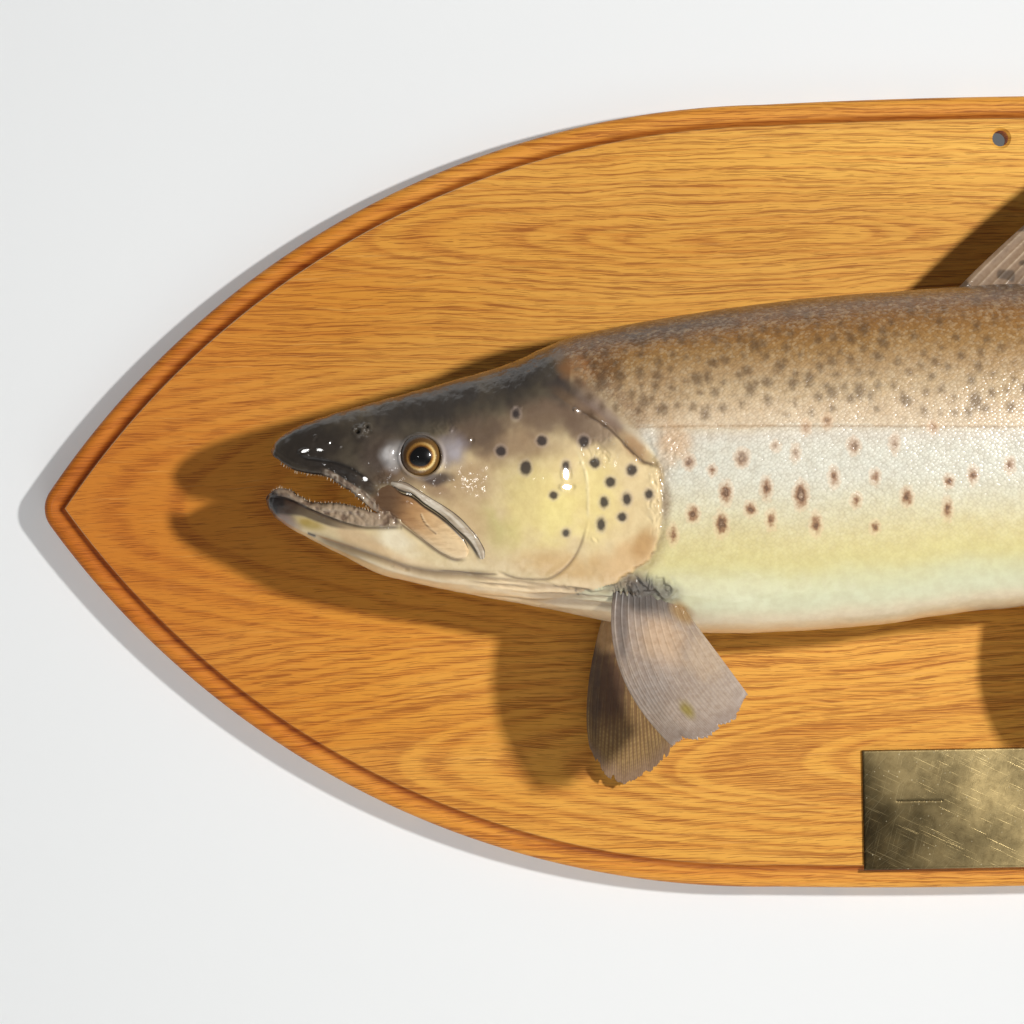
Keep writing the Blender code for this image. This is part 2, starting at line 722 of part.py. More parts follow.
def make_head(look):
    rings = []
    for x in HEAD_STATIONS + [HEAD_END - GAP / MM]:
        top = top_at(x)
        bottom = roof_closes_at(x)
        widest = widest_at(x)
        edge = head_cut_at(x)
        lip = lip_angles(edge, LIP_HEIGHT, widest, top, bottom)
        sweep = math.pi - 2 * lip[-1]
        angles = lip + [lip[-1] + sweep * i / HEAD_ARC for i in range(1, HEAD_ARC)]
        angles += [math.pi - angle for angle in reversed(lip)]
        ring = lipped_ring(x, angles, width_at(x), widest, top, bottom)
        near = ring[-1]
        far = ring[0]
        for i in range(1, HEAD_CHORD + 1):
            share = i / (HEAD_CHORD + 1)
            point = near.lerp(far, share)
            point.z += palate_at(x) * math.sin(math.pi * share)
            ring.append(point)
        rings.append(ring)
    return lofted("head_skull", rings, look)


def make_lower_jaw(look):
    rings = []
    for x in JAW_STATIONS:
        bottom = bottom_at(x)
        widest = jaw_widest_at(x)
        top = widest + JAW_CLOSES_ABOVE
        edge = jaw_cut_at(x)
        lip = lip_angles(edge, -LIP_HEIGHT, widest, top, bottom)
        sweep = math.pi + 2 * lip[-1]
        angles = lip + [lip[-1] - sweep * i / JAW_ARC for i in range(1, JAW_ARC)]
        angles += [-math.pi - angle for angle in reversed(lip)]
        ring = lipped_ring(x, angles, jaw_width_at(x), widest, top, bottom)
        near = ring[-1]
        far = ring[0]
        for i in range(1, JAW_CHORD + 1):
            share = i / (JAW_CHORD + 1)
            point = near.lerp(far, share)
            tongue = TONGUE_RISE * max(0.0, math.cos((share - 0.5) * math.pi * TONGUE_WIDTH))
            point.z -= trough_at(x) * (math.sin(math.pi * share) ** TROUGH_ROUNDNESS - tongue)
            ring.append(point)
        rings.append(ring)
    return lofted("lower_jaw", rings, look)


def body_ring(x, grow=0.0):
    widest = widest_at(x)
    return [
        section_point(
            x,
            2 * math.pi * i / BODY_RING,
            width_at(x) + grow,
            widest,
            top_at(x) + grow,
            bottom_at(x) - grow,
        )
        for i in range(BODY_RING)
    ]


def make_length(name, start, end, look, grow=0.0):
    """One length of the body, from start to end along X in millimetres."""
    steps = max(2, round((end - start) / BODY_STEP))
    rings = []
    for i in range(steps + 1):
        x = start + (end - start) * i / steps
        ring = body_ring(x, grow)
        rings.append(ring if grow else [against_board(p) for p in ring])
    return lofted(name, rings, look)


def gill_cover(name, side, look, grow=0.0):
    def lift(across, along):
        swell = GILL_BELLY * math.sin(math.pi * across) * math.sin(math.pi * along)
        return GILL_LIFT_FRONT + (GILL_LIFT_HIND - GILL_LIFT_FRONT) * across + swell

    return head_plate(
        name, side, GILL_FRONT, GILL_HIND, lift, GILL_THICKNESS, GILL_COLUMNS, GILL_ROWS, look, grow
    )


def maxilla(name, side, look, grow=0.0):
    def lift(across, along):
        return MAXILLA_LIFT + MAXILLA_CROWN * math.sin(math.pi * across)

    return head_plate(
        name,
        side,
        MAXILLA_LOWER,
        MAXILLA_UPPER,
        lift,
        MAXILLA_THICKNESS + MAXILLA_LIFT,
        MAXILLA_ROWS,
        MAXILLA_COLUMNS,
        look,
        grow,
    )


def eye_centre(side):
    surface = skin_side(EYE_X, EYE_Z, side)
    inwards = -side
    return Vector((EYE_X, surface.y + inwards * (EYE_RADIUS - EYE_STANDS_OUT), EYE_Z))


def make_eye_rim(side, look):
    """A ring of skin that stands proud of the head round the eye."""
    centre = Vector((EYE_X, EYE_Z))
    rings = []
    for i in range(EYE_RIM_STEPS):
        angle = 2 * math.pi * i / EYE_RIM_STEPS
        outwards = Vector((math.cos(angle), math.sin(angle)))
        ring = []
        for k in range(EYE_RIM_SIDES):
            turn = 2 * math.pi * (k + 0.5) / EYE_RIM_SIDES
            spot = centre + outwards * (EYE_RIM_RADIUS + EYE_RIM_THICK * math.cos(turn))
            ring.append(skin_side(spot.x, spot.y, side, EYE_RIM_RISE * math.sin(turn)))
        rings.append(ring)
    points = [p for ring in rings for p in ring]
    faces = []
    for i in range(EYE_RIM_STEPS):
        here = i * EYE_RIM_SIDES
        following = (i + 1) % EYE_RIM_STEPS * EYE_RIM_SIDES
        for k in range(EYE_RIM_SIDES):
            beside = (k + 1) % EYE_RIM_SIDES
            faces.append((here + k, here + beside, following + beside, following + k))
    return object_from("eye_rim", points, faces, look)


def make_cone(name, base, tip, base_radius, tip_radius, sides, look):
    """A closed cone or rod from base to tip, in millimetres."""
    along = (tip - base).normalized()
    across = along.orthogonal().normalized()
    beside = along.cross(across)
    points = []
    for centre, radius in ((base, base_radius), (tip, tip_radius)):
        for i in range(sides):
            angle = 2 * math.pi * i / sides
            points.append(centre + (across * math.cos(angle) + beside * math.sin(angle)) * radius)
    faces = [tuple(range(sides)), tuple(range(sides, 2 * sides))]
    for i in range(sides):
        j = (i + 1) % sides
        faces.append((i, j, j + sides, i + sides))
    return object_from(name, points, faces, look)


def make_teeth(jaw, row, rim_at, upwards, look):
    """Adds one row of teeth to each side of a jaw, whose rim gives its reach and its height at x."""
    draw = random.Random(TOOTH_SEED)
    start, end, count = row
    teeth = []
    for side in (-1, 1):
        for i in range(count):
            x = start + (end - start) * (i + draw.uniform(-TOOTH_SHIFT, TOOTH_SHIFT)) / (count - 1)
            x = min(max(x, start), end)
            reach, z = rim_at(x)
            place = Vector((x, middle_at(x) + side * max(0.0, reach - TOOTH_INSET), z))
            forward = draw.uniform(0.0, TOOTH_LEAN)
            outward = draw.uniform(0.0, TOOTH_LEAN)
            lean = Vector((-forward, side * outward, upwards)).normalized()
            root = place - lean * TOOTH_SINK
            tip = place + lean * draw.uniform(TOOTH_SHORTEST, TOOTH_LONGEST)
            teeth.append(make_cone("tooth", root, tip, TOOTH_RADIUS, TOOTH_TIP_RADIUS, TOOTH_SIDES, look))
    unite(jaw, teeth)


def upper_rim_at(x):
    z = upper_jaw_at(x)
    angle = angle_at_height(z, widest_at(x), top_at(x), roof_closes_at(x))
    return math.cos(angle) ** (2 / ROUNDNESS_BELOW) * width_at(x), z


def lower_rim_at(x):
    z = lower_jaw_at(x)
    widest = jaw_widest_at(x)
    angle = angle_at_height(z, widest, widest + JAW_CLOSES_ABOVE, bottom_at(x))
    return math.cos(angle) ** (2 / ROUNDNESS_ABOVE) * jaw_width_at(x), z


def make_ball(name, centre, radius, look):
    bm = bmesh.new()
    bmesh.ops.create_uvsphere(bm, u_segments=EYE_SEGMENTS, v_segments=EYE_RINGS, radius=radius * MM)
    bmesh.ops.rotate(bm, verts=bm.verts, matrix=Matrix.Rotation(math.pi / 2, 3, "X"))
    mesh = bpy.data.meshes.new(name)
    bm.to_mesh(mesh)
    bm.free()
    mesh.shade_smooth()
    if look:
        mesh.materials.append(look)
    made = bpy.data.objects.new(name, mesh)
    made.location = centre * MM
    bpy.context.scene.collection.objects.link(made)
    return made


def make_fin(name, look):
    """A thin fan with rays as ridges of its own surface and both faces split into like triangles."""
    plan = FINS[name]
    lines = [path_through(plan[key]) for key in ("root", "middle", "outer")]
    thickness_at = curve_through(list(zip((0.0, 0.5, 1.0), plan["thick"])))
    ray_height_at = curve_through(list(zip((0.0, 0.5, 1.0), RAY_HEIGHT)))
    columns = 2 * plan["rays"]

    def middle_surface(across, along):
        root, middle, outer = (Vector(line(across)) for line in lines)
        # A parabola through root, middle and outer point
        return (
            root * (1 - along) * (1 - 2 * along)
            + middle * 4 * along * (1 - along)
            + outer * along * (2 * along - 1)
        )

    def face_of(side):
        def point(across, along):
            column = round(across * columns)
            on_ray = column % 2
            reach = along * (1.0 if on_ray else 1.0 - SCALLOP * along)
            step = FIN_NORMAL_STEP
            low = max(0.0, across - step)
            high = min(1.0, across + step)
            normal = (
                (middle_surface(high, reach) - middle_surface(low, reach))
                .cross(middle_surface(across, reach + step) - middle_surface(across, reach - step))
                .normalized()
            )
            edge = FIN_EDGE if column in (0, columns) else 1.0
            half = thickness_at(along) / 2 * edge + (ray_height_at(along) / 2 if on_ray else 0.0)
            return middle_surface(across, reach) + normal * half * side

        return point

    return plate(name, face_of(1), face_of(-1), columns, FIN_ROWS, look)


def make_adipose(look):
    """A small fleshy lobe that leans back."""
    root_x, root_z = ADIPOSE_ROOT
    tip_x, tip_z = ADIPOSE_TIP
    y = middle_at(root_x)
    base_z = root_z - ADIPOSE_SINK
    shorter, thinner = ADIPOSE_SLIMMING
    rings = []
    for i in range(ADIPOSE_STEPS + 1):
        share = i / ADIPOSE_STEPS
        x = root_x + (tip_x - root_x) * share**ADIPOSE_LEAN
        z = base_z + (tip_z - base_z) * share
        rounding = math.sqrt(max(ADIPOSE_TIP_ROUNDNESS, 1 - share**3))
        half_length = ADIPOSE_LENGTH / 2 * (1 - shorter * share) * rounding
        half_thick = ADIPOSE_THICK / 2 * (1 - thinner * share)
        ring = []
        for k in range(ADIPOSE_SIDES):
            angle = 2 * math.pi * k / ADIPOSE_SIDES
            ring.append(Vector((x + half_length * math.cos(angle), y + half_thick * math.sin(angle), z)))
        rings.append(ring)
    return lofted("adipose_fin", rings, look)


def trim_root(fin, start, end, look):
    """Cuts a fin's root to the body under it, from start to end along X, with the gap between them."""
    grown = make_length(
        "grown_body",
        start - FIN_TRIM_MARGIN,
        end + FIN_TRIM_MARGIN,
        look,
        grow=GAP / MM * FIN_CLEARANCE,
    )
    combine(fin, [as_cutter(grown)], "DIFFERENCE")


for old in list(bpy.data.objects):
    bpy.data.objects.remove(old)

oak = material("varnished_oak", (0.48, 0.20, 0.05), 0.3)
brass = material("aged_brass", (0.42, 0.34, 0.16), 0.35, 0.9)
dark_skin = material("dark_head_skin", (0.10, 0.08, 0.06), 0.3)
jaw_skin = material("pale_jaw_skin", (0.50, 0.42, 0.28), 0.3)
cheek_skin = material("gill_cover_skin", (0.55, 0.45, 0.22), 0.3)
flank_skin = material("speckled_flank_skin", (0.50, 0.42, 0.26), 0.35)
tail_skin = material("tail_skin", (0.36, 0.30, 0.18), 0.35)
fin_look = material("fin_membrane", (0.34, 0.27, 0.18), 0.35)
eye_look = material("glass_eye", (0.30, 0.20, 0.04), 0.05)
tooth_look = material("teeth", (0.75, 0.70, 0.55), 0.3)

make_board(oak)
make_plaque(brass)
head = make_head(dark_skin)
lower_jaw = make_lower_jaw(jaw_skin)
unite(head, [make_eye_rim(side, dark_skin) for side in (-1, 1)])
make_teeth(head, UPPER_TEETH, upper_rim_at, -1, tooth_look)
make_teeth(lower_jaw, LOWER_TEETH, lower_rim_at, 1, tooth_look)
front = make_length("body_front", HEAD_END, FRONT_END - GAP / MM, flank_skin)
make_length("body_middle", FRONT_END, MIDDLE_END - GAP / MM, flank_skin)
make_length("body_rear", MIDDLE_END, REAR_END - GAP / MM, flank_skin)
make_length("tail_stem", REAR_END, STEM_END, tail_skin)

for side, word in ((-1, "near"), (1, "far")):
    gill_cover("gill_cover_" + word, side, cheek_skin)
    maxilla("maxilla_" + word, side, jaw_skin)
    centre = eye_centre(side)
    make_ball("eye_" + word, centre, EYE_RADIUS, eye_look)
    socket = make_ball("socket_cutter", centre, EYE_RADIUS + GAP / MM, dark_skin)
    pits = []
    for x, z, radius in NOSTRILS:
        mouth = skin_side(x, z, side, NOSTRIL_DEPTH / 2)
        floor = skin_side(x, z, side, -NOSTRIL_DEPTH)
        pits.append(
            make_cone("pit_cutter", floor, mouth, radius * NOSTRIL_TAPER, radius, NOSTRIL_SIDES, dark_skin)
        )
    for target, plates in ((head, (gill_cover, maxilla)), (front, (gill_cover,)), (lower_jaw, (maxilla,))):
        cutters = [make("bed_cutter", side, cheek_skin, grow=GAP / MM) for make in plates]
        if target is head:
            cutters += [socket] + pits
        combine(target, [as_cutter(cutter) for cutter in cutters], "DIFFERENCE")

for name, plan in FINS.items():
    fin = make_fin(name, fin_look)
    if name != "tail_fin":
        trim_root(fin, plan["root"][0][0], plan["root"][-1][0], fin_look)
trim_root(make_adipose(fin_look), ADIPOSE_ROOT[0], ADIPOSE_ROOT[0], fin_look)
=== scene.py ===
"""The looks of a brown trout mounted on an oak board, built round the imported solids.

Lengths in this file are millimetres until a mesh is made, and colours are written as seen on a
screen, 0 to 255. The frame is the solids' own: metres, +Z up, the wall in the plane y = 0.
"""

import itertools
import math
import random

import bmesh
import bpy
import numpy as np
from mathutils import Matrix, Vector


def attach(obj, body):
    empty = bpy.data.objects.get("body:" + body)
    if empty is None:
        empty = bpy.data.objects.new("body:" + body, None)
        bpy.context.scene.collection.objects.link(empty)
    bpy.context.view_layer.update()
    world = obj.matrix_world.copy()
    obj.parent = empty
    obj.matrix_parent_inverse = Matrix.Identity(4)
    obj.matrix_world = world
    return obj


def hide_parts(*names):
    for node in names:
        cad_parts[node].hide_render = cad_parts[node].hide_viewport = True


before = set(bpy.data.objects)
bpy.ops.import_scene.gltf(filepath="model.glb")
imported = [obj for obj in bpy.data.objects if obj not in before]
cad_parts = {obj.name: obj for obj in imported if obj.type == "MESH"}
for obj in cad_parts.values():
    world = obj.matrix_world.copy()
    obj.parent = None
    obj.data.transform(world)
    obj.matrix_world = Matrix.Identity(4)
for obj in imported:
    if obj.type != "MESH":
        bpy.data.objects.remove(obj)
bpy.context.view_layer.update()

MM = 0.001
NEAR = -1
FAR = 1

# Camera: the photograph's frame, and where the origin lies in it on the board's front face
FRAME_PIXELS = 1024
PIXELS_PER_METRE = 2140
ORIGIN_PIXEL = (995.0, 491.5)
CAMERA_ROLL = math.radians(1.05)
CAMERA_DISTANCE = 2.55
SENSOR = 36.0

# Lights: place in metres, the point each faces, diameter in metres, power in watts, colour
LIGHTS_FACE = (-3.0, 0.0, 0.0)
KEY_LIGHT = ((0.56, -1.13, 0.18), LIGHTS_FACE, 0.1, 21.2, (1.0, 0.985, 0.96))
LEFT_LIGHT = ((-0.72, -1.6, 0.02), LIGHTS_FACE, 0.09, 1.6, (1.0, 0.99, 0.97))
LOW_LIGHT = ((-0.25, -0.45, -0.85), (-0.15, 0.0, 0.3), 0.5, 1.0, (1.0, 0.95, 0.88))
SKY_COLOUR = (1.0, 0.99, 0.98, 1.0)
SKY_STRENGTH = 0.145

# Stage: the wall gives a little light of its own, which keeps the board's shadow on it pale
WALL_COLOUR = (212, 214, 215)
FLOOR_COLOUR = (242, 244, 245)
WALL_GLOW = 0.24
WALL_BEHIND = 0.6
WALL_REACH = 4000.0
WALL_OVERLAP = 1.5
FLOOR_LEVEL = -900.0
FLOOR_SIZE = 6000.0

# Board
BOARD_THICKNESS = 20.0
BOARD_HALF_HEIGHT = 185.0
SIDE_ARC_RADIUS = 411.0
SIDE_ARC_X = 105.6
BOW_RADIUS = 3117.0
TIP_RADIUS = 14.0
TIP_SHARPENING = 1.4
TIP_SMALLEST = 0.4
BOW_STEPS = 12
ARC_STEPS = 110
TIP_STEPS = 14
# The edge's profile: (distance in from the edge, height above the back face)
MOULDING = [
    (0.6, 0.0), (0.0, 0.6), (0.0, 13.0), (0.1, 14.2), (0.5, 15.2), (1.2, 16.0), (2.2, 16.5),
    (3.4, 16.8), (4.6, 16.8), (5.8, 16.55), (6.8, 16.35), (7.6, 16.4), (8.4, 16.65), (9.1, 17.1),
    (9.7, 17.7), (10.2, 18.45), (10.6, 19.25), (10.8, 19.75), (11.05, 20.0),
]
# The ring of the moulding on which its painted highlight lies
CREST_INSET = 10.8
HOLE_X = 5.6
HOLE_Z = 165.0
BORE_RADIUS = 3.7
SINK_RADIUS = 5.0
SINK_DEPTH = 1.3
HOLE_SIDES = 72

# Plaque
PLAQUE_X = -5.5
PLAQUE_Z = -147.7
PLAQUE_LENGTH = 118.0
PLAQUE_HEIGHT = 56.0
PLAQUE_THICKNESS = 1.4
PLAQUE_BACK = 20.3
PLAQUE_BEVEL = 0.9
PLAQUE_STEP = 0.4
PLAQUE_BEVEL_DROP = 0.55
PLAQUE_DENTS = 0.03
# Engraved rules: start and end along X from the plaque's middle, and height above it
PLAQUE_RULES = [(-43.0, -22.0, 4.0), (22.0, 43.0, 4.0)]
RULE_WIDTH = 0.35
RULE_DEPTH = 0.22
# Directions of the plaque's scratches, as a turn and how fine they are
BRASS_SCRATCHES = [(0.6, 2600.0), (0.85, 2100.0), (-0.45, 2300.0), (1.3, 2900.0)]

# The fish seen from its side: (x, height)
TOP_LINE = [
    (-335.2, 25.0), (-334.4, 27.0), (-332.0, 30.2), (-328.0, 33.0), (-322.0, 36.0), (-307.0, 41.0),
    (-268.6, 50.9), (-243.0, 57.6), (-226.0, 62.8), (-211.6, 68.9), (-196.8, 74.2), (-170.0, 79.7),
    (-137.9, 84.5), (-92.0, 89.9), (-46.0, 92.7), (11.0, 95.0), (57.0, 92.5), (100.0, 86.0),
    (150.0, 76.0), (200.0, 65.5), (250.0, 55.0), (280.0, 50.5), (304.0, 52.5), (326.0, 60.0),
]
BOTTOM_LINE = [
    (-338.4, 1.5), (-337.4, -1.5), (-335.4, -4.5), (-331.6, -7.8), (-320.6, -14.8), (-303.8, -24.0),
    (-287.0, -32.6), (-270.0, -37.3), (-253.6, -41.2), (-228.0, -46.2), (-204.0, -51.7),
    (-168.0, -59.3), (-140.6, -62.3), (-117.7, -63.0), (-94.7, -62.5), (-48.8, -59.2),
    (-25.7, -55.9), (8.3, -52.9), (50.0, -48.5), (100.0, -41.0), (150.0, -33.0), (200.0, -27.0),
    (250.0, -21.5), (280.0, -19.5), (304.0, -23.0), (326.0, -30.5),
]
UPPER_JAW_LINE = [
    (-335.2, 23.6), (-334.4, 22.6), (-332.0, 21.0), (-329.0, 18.9), (-325.0, 16.6), (-318.0, 14.7),
    (-311.0, 13.6), (-304.0, 9.7), (-297.0, 4.6), (-291.5, -1.0), (-287.0, -4.6), (-286.0, -5.0),
]
LOWER_JAW_LINE = [
    (-338.4, 3.0), (-337.4, 4.2), (-335.4, 5.2), (-332.0, 6.0), (-329.0, 5.9), (-325.0, 3.6),
    (-320.0, 0.7), (-313.0, -1.0), (-304.0, -1.4), (-297.0, -2.9), (-291.5, -4.2), (-287.0, -5.0),
    (-286.0, -5.0),
]
JAW_SEAM = [
    (-287.0, -5.0), (-281.0, -6.6), (-275.0, -10.0), (-268.0, -17.5), (-258.0, -29.5),
    (-250.0, -39.3),
]
HALF_WIDTH = [
    (-335.2, 1.2), (-334.4, 4.6), (-332.0, 7.6), (-328.0, 10.2), (-322.0, 12.8), (-310.0, 16.0),
    (-295.0, 19.2), (-280.0, 22.4), (-266.0, 25.4), (-250.0, 29.0), (-230.0, 33.4), (-210.0, 37.4),
    (-190.0, 40.6), (-165.0, 43.2), (-135.0, 45.0), (-100.0, 46.0), (-50.0, 46.0), (0.0, 45.0),
    (50.0, 42.5), (100.0, 38.0), (150.0, 31.5), (200.0, 25.0), (250.0, 18.0), (280.0, 13.0),
    (304.0, 6.6), (314.0, 4.2), (326.0, 1.6),
]
JAW_HALF_WIDTH = [
    (-338.4, 1.2), (-337.4, 4.4), (-335.4, 7.0), (-332.0, 9.2), (-325.0, 12.0), (-313.0, 15.0),
    (-300.0, 18.2), (-287.0, 21.0), (-275.0, 23.4), (-262.0, 26.3), (-250.0, 29.0),
]
WIDEST_LEVEL = [
    (-335.2, 24.0), (-328.0, 20.0), (-318.0, 17.0), (-304.0, 12.5), (-291.0, 6.5), (-280.0, 3.5),
    (-268.0, 4.0), (-250.0, 7.5), (-220.0, 11.0), (-190.0, 12.5), (-140.0, 13.0), (-90.0, 14.5),
    (-40.0, 17.5), (10.0, 21.0), (60.0, 22.5), (120.0, 22.5), (200.0, 19.5), (304.0, 14.5),
]
JAW_WIDEST_LEVEL = [
    (-338.4, 2.4), (-325.0, 1.0), (-304.0, -3.0), (-287.0, -4.0), (-275.0, 0.0), (-262.0, 4.8),
    (-250.0, 7.5),
]
MIDPLANE = [
    (-338.4, -72.5), (-265.0, -70.0), (-190.0, -66.5), (-100.0, -64.4), (0.0, -64.2), (60.0, -63.5),
    (150.0, -60.0), (250.0, -54.0), (304.0, -50.0), (326.0, -49.0),
]
ROUNDNESS_ABOVE = 2.25
ROUNDNESS_BELOW = 2.1
LOWEST_ANGLE = -math.pi / 2 + 0.28
ROOF_BELOW_EDGE = 6.0
JAW_CLOSES_ABOVE = 20.0
PALATE_ARCH = [(-335.2, 0.0), (-330.0, 1.0), (-318.0, 4.0), (-300.0, 6.0), (-290.0, 3.5), (-286.0, 0.0)]
MOUTH_TROUGH = [(-338.4, 0.0), (-334.0, 1.6), (-325.0, 4.5), (-305.0, 8.0), (-293.0, 6.0), (-286.0, 0.0)]
LIP_ROLL = [(-338.4, 0.1), (-334.0, 0.7), (-326.0, 1.1), (-296.0, 1.0), (-288.5, 0.0)]
LIP_HEIGHT = 2.8
TONGUE_RISE = 0.55
TONGUE_WIDTH = 2.4
TROUGH_ROUNDNESS = 0.6
UPPER_TIP = -335.2
LOWER_TIP = -338.4
MOUTH_CORNER = -286.0
JAW_END = -250.0
TAIL_TAPER_END = 326.0
# The skin never passes the board's front face
BACK_LIMIT = -20.3

# The skin's mesh: where its columns part at the flank, columns over and under, and station steps
PART_LINE = [(-286.0, -5.0), (-240.0, -8.0), (-160.0, -2.0), (0.0, 10.0), (150.0, 18.0), (326.0, 14.0)]
COLUMNS_OVER = 250
COLUMNS_UNDER = 150
COLUMNS_INSIDE = 40
NEAR_SIDE_BIAS = 0.7
NEAR_TOP = 2.0
SECTION_SAMPLES = 420
TIP_LENGTH = 3.0
TIP_STATIONS = 18
HEAD_STEP = 0.5
HEAD_STATIONS_END = -150.0
BODY_STEP = 1.5

# Eyes
EYE_X = -266.4
EYE_Z = 20.5
EYE_RADIUS = 11.5
EYE_STANDS_OUT = 4.2
EYE_OPENING = 9.3

# A lattice of scattered values for the noise
LATTICE_TURNS = (12.9898, 78.233, 37.719)
LATTICE_SCATTER = 43758.5453


def curve_through(points):
    """A smooth function through (x, value) points, level past its ends, for arrays of x."""
    xs, ys = (np.array(column, float) for column in zip(*points))
    spans = np.diff(xs)
    slopes = np.diff(ys) / spans
    tangents = np.concatenate([slopes[:1], np.zeros(len(xs) - 2), slopes[-1:]])
    before, after = slopes[:-1], slopes[1:]
    mean = (before * spans[1:] + after * spans[:-1]) / (spans[1:] + spans[:-1])
    steepest = 3 * np.minimum(np.abs(before), np.abs(after))
    limited = np.sign(mean) * np.minimum(np.abs(mean), steepest)
    tangents[1:-1] = np.where(before * after > 0, limited, 0.0)

    def value(x):
        x = np.asarray(x, float)
        i = np.clip(np.searchsorted(xs, x, side="right") - 1, 0, len(xs) - 2)
        t = np.clip((x - xs[i]) / spans[i], 0.0, 1.0)
        return (
            ys[i] * (1 + 2 * t) * (1 - t) ** 2
            + tangents[i] * spans[i] * t * (1 - t) ** 2
            + ys[i + 1] * t * t * (3 - 2 * t)
            - tangents[i + 1] * spans[i] * t * t * (1 - t)
        )

    return value


top_at = curve_through(TOP_LINE)
bottom_at = curve_through(BOTTOM_LINE)
width_at = curve_through(HALF_WIDTH)
widest_at = curve_through(WIDEST_LEVEL)
middle_at = curve_through(MIDPLANE)
jaw_width_at = curve_through(JAW_HALF_WIDTH)
jaw_widest_at = curve_through(JAW_WIDEST_LEVEL)
upper_jaw_at = curve_through(UPPER_JAW_LINE)
lower_jaw_at = curve_through(LOWER_JAW_LINE)
seam_at = curve_through(JAW_SEAM)
palate_at = curve_through(PALATE_ARCH)
trough_at = curve_through(MOUTH_TROUGH)
lip_at = curve_through(LIP_ROLL)
part_at = curve_through(PART_LINE)


def stacked(*parts):
    """Arrays or numbers of like shape, side by side along a new last axis."""
    return np.stack(np.broadcast_arrays(*parts), axis=-1)


def unit(vectors):
    """The vectors, each made one long."""
    return vectors / np.linalg.norm(vectors, axis=-1, keepdims=True)


def linear(colour):
    """The linear values, 0 to 1, of a colour as seen on a screen."""
    share = np.asarray(colour, float) / 255
    return np.where(share <= 0.04045, share / 12.92, ((share + 0.055) / 1.055) ** 2.4)


def rgba(colour):
    return (*(float(part) for part in linear(colour)), 1.0)


def smooth_step(low, high, value):
    t = np.clip((value - low) / (high - low), 0.0, 1.0)
    return t * t * (3 - 2 * t)


def bell(distance, width):
    return np.exp(-((distance / width) ** 2))


def noise(seed, *coordinates):
    """Smooth noise from -1 to 1 whose bumps are about one unit of the coordinates apart."""
    cells = [np.floor(c) for c in coordinates]
    eased = [(c - cell) ** 2 * (3 - 2 * (c - cell)) for c, cell in zip(coordinates, cells)]
    total = 0.0
    for corner in itertools.product((0, 1), repeat=len(coordinates)):
        weight = 1.0
        key = float(seed)
        for turn, cell, ease, offset in zip(LATTICE_TURNS, cells, eased, corner):
            weight = weight * (ease if offset else 1 - ease)
            key = key + (cell + offset) * turn
        scatter = np.sin(key) * LATTICE_SCATTER
        total = total + weight * (2 * (scatter - np.floor(scatter)) - 1)
    return total


def path_through(points):
    """A smooth path through points, as a function of an array of shares from 0 to 1."""
    points = np.array(points, float)
    lengths = np.concatenate([[0.0], np.cumsum(np.linalg.norm(np.diff(points, axis=0), axis=1))])
    shares = lengths / lengths[-1]
    parts = [curve_through(list(zip(shares, column))) for column in points.T]
    return lambda share: stacked(*(part(share) for part in parts))


def distance_to(line, x, z, samples=36):
    """Each point's distance to a smooth line through (x, z) points, and its share along the line."""
    path = path_through(line)(np.linspace(0.0, 1.0, samples))
    best = np.full(x.shape, np.inf)
    share = np.zeros(x.shape)
    for i, (a, b) in enumerate(zip(path, path[1:])):
        run = b - a
        t = np.clip(((x - a[0]) * run[0] + (z - a[1]) * run[1]) / run.dot(run), 0.0, 1.0)
        distance = np.hypot(x - a[0] - t * run[0], z - a[1] - t * run[1])
        closer = distance < best
        best = np.where(closer, distance, best)
        share = np.where(closer, (i + t) / (samples - 1), share)
    return best, share


def inside(outline, x, z):
    """Which points lie inside a closed outline of (x, z) points."""
    found = np.zeros(x.shape, bool)
    for (x1, z1), (x2, z2) in zip(outline, outline[1:] + outline[:1]):
        if z1 == z2:
            continue
        crosses = ((z1 > z) != (z2 > z)) & (x < (x2 - x1) * (z - z1) / (z2 - z1) + x1)
        found ^= crosses
    return found


def oval(x, z, cx, cz, half_length, half_height, tilt=0.0):
    """How far each point lies from the middle of a tilted oval, where 1 is on its rim."""
    turn = math.radians(tilt)
    dx, dz = x - cx, z - cz
    along = (dx * math.cos(turn) + dz * math.sin(turn)) / half_length
    return np.hypot(along, (dz * math.cos(turn) - dx * math.sin(turn)) / half_height)


def faded(share, start, end):
    """A strength that rises from a line's start and falls towards its end, unless end is None."""
    rise = smooth_step(0.0, start, share)
    return rise if end is None else rise * smooth_step(1.0, end, share)


def signed_power(value, exponent):
    return np.sign(value) * np.abs(value) ** exponent


def section_point(x, angle, half_width, widest, top, bottom):
    """Across and height of the rounded section. Angle 0 is the far side, a quarter turn the top."""
    sine = np.sin(angle)
    above = sine >= 0
    reach = np.where(above, top - widest, widest - bottom)
    roundness = np.where(above, ROUNDNESS_ABOVE, ROUNDNESS_BELOW)
    across = signed_power(np.cos(angle), 2 / roundness) * half_width
    return across, widest + signed_power(sine, 2 / roundness) * reach


def angle_at_height(height, widest, top, bottom):
    """The angle on the far side at which the section reaches this height."""
    over = np.clip((height - widest) / (top - widest), 0.0, 1.0)
    under = np.clip((widest - height) / (widest - bottom), 0.0, 1.0)
    return np.where(
        height >= widest,
        np.arcsin(over ** (ROUNDNESS_ABOVE / 2)),
        -np.arcsin(under ** (ROUNDNESS_BELOW / 2)),
    )


